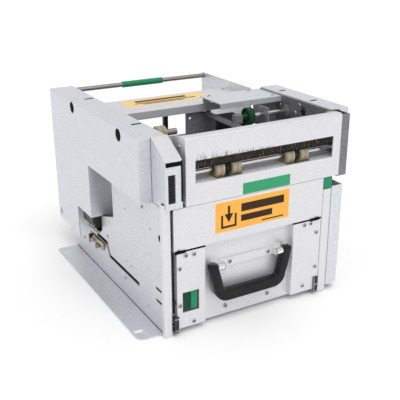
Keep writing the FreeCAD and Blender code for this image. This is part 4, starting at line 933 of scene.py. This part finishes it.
def makeLockParts(shape):
    bracket = ("lock_bracket", "hll")
    for name, finish, slotName in (("slider", "whitePlastic", "white_plastic"),
                                   ("block", "shaftSteel", "shaft_steel")):
        low, high = shape[name]
        mesh = bmesh.new()
        addBrick(mesh, fromCorner(bracket, low), fromCorner(bracket, high), 0.3 * mm)
        addPiece("lock" + name.capitalize(), mesh, finish, "chassis")
    mesh = bmesh.new()
    for y, z, radius in shape["studs"]:
        radius *= mm
        outline = [(-1.6 * mm, 0.3 * mm), (-1.6 * mm, radius * 0.6), (-1.2 * mm, radius * 0.62),
                   (-1.1 * mm, radius),
                   (-0.2 * mm, radius), (-0.05 * mm, radius * 0.6)]
        addLathe(mesh, outline, fromCorner(bracket, (0, y, z)), "x", steps=20)
    addPiece("lockStuds", mesh, "wornBrass", "chassis")


makeLockParts(lockShape)

# pressed marks and rivets on the left side plate; five of the six rivet places were printed
# by a measuring script and copied here to 0.1 mm, and none is worked out from the frame

pressShape = {"frame": ((10.5, 72.6), (53.0, 94.0)), "line": 0.7, "rise": 0.22, "sheet": 1.5,
              "rivets": ((38.5, 91.1), (114.0, 53.4), (22.1, 114.9), (23.6, 78.5), (178.4, 65.4),
                         (92.0, 91.1))}


def makePressedMarks(shape):
    (y0, z0), (y1, z1) = shape["frame"]
    line, rise, outer = shape["line"], shape["rise"], -shape["sheet"]
    mesh = bmesh.new()
    for low, high in (((y0, z0), (y1, z0 + line)), ((y0, z1 - line), (y1, z1)), ((y0, z0), (y0 + line, z1)),
                      ((y1 - line, z0), (y1, z1))):
        addBrick(mesh, fromCorner(leftPlate, (outer - rise, *low)), fromCorner(leftPlate, (outer, *high)),
                 rise * 0.4 * mm)
    for y, z in shape["rivets"]:
        outline = [(-0.5 * mm, 0.2 * mm), (-0.42 * mm, 0.9 * mm), (0.0, 1.4 * mm)]
        addLathe(mesh, outline, fromCorner(leftPlate, (outer, y, z)), "x", steps=16)
    addPiece("pressedMarks", mesh, "zincSheet", "chassis")


makePressedMarks(pressShape)

# small parts on the bin: a black sheet of painted shade in the gap beside the left block, a dark green sheet
# of painted shade over the latch pocket, a black cap of painted shade over the bolt tip, and the bright pin
# sleeves with black rings of painted shade at their ends

binShape = {
    "gapShade": {"place": ("bin_left_block", "lll"), "low": (-4.6, 7.7, 18.2), "high": (-0.2, 8.3, 100.0),
            "finish": "blackPlastic", "body": "bin", "slot": "black_plastic"},
    "pocketShade": {"place": ("bin_latch", "lll"), "low": (9.6, 1.35, 0.4), "high": (21.2, 1.58, 23.6),
               "finish": "greenDark", "body": "bin_latch", "slot": "green_plastic"},
    "boltTipShade": (-0.1, 3.2, 12.0), "boltRadius": 2.34 * mm, "sleeve": 4.66 * mm,
    "sleeves": ((4.1, 13.9), (90.1, 99.9)),
    "clipLips": (((5.6, -0.4, 1.0), (6.2, 0.1, 19.8)), ((0.4, -0.4, 18.0), (6.0, 0.1, 18.8)),
                 ((0.4, -0.4, 2.4), (5.0, 0.1, 3.2)), ((209.0, -0.4, 1.0), (209.6, 0.1, 19.8)),
                 ((209.6, -0.4, 9.8), (214.8, 0.1, 10.6))),
}


def makeBinParts(shape):
    for name in ("gapShade", "pocketShade"):
        part = shape[name]
        mesh = bmesh.new()
        addBrick(mesh, fromCorner(part["place"], part["low"]), fromCorner(part["place"], part["high"]),
                 0.05 * mm)
        addPiece("bin" + name.capitalize(), mesh, part["finish"], part["body"], smooth=0)
    mesh = bmesh.new()
    radius = shape["boltRadius"]
    outline = [(0.0, radius * 0.8), (0.4 * mm, radius), (2.2 * mm, radius)]
    addLathe(mesh, outline, fromCorner(("bin_latch", "lll"), shape["boltTipShade"]), "x", steps=24)
    addPiece("boltTipShade", mesh, "blackSpring", "bin_latch")
    pin = middleOf("handle_pins")
    sleeves, rings = bmesh.new(), bmesh.new()
    for pair in shape["sleeves"]:
        radius, lip = shape["sleeve"], 0.5 * mm
        start, end = [fromCorner(("handle_bracket", "lll"), (value, 0, 0)).x for value in pair]
        outline = [(start, radius - lip), (start + lip, radius), (end - lip, radius), (end, radius - lip)]
        addLathe(sleeves, outline, (0, pin.y, pin.z), "x", steps=36)
        # black rings at both ends of each sleeve: painted shade
        for near in (start, end - 0.6 * mm):
            radius = shape["sleeve"] + 0.03 * mm
            addLathe(rings, [(near, radius), (near + 0.6 * mm, radius)], (0, pin.y, pin.z), "x", steps=36)
    addPiece("pinSleeves", sleeves, "chromePin", "bin")
    addPiece("sleeveEndShade", rings, "blackSpring", "bin")
    mesh = bmesh.new()
    clips = ("bin_clips", "lll")
    for low, high in shape["clipLips"]:
        addBrick(mesh, fromCorner(clips, low), fromCorner(clips, high), 0.12 * mm)
    addPiece("clipLips", mesh, "screwSteel", "bin")


makeBinParts(binShape)
print("linings, lock parts, pressed marks and bin parts ready")
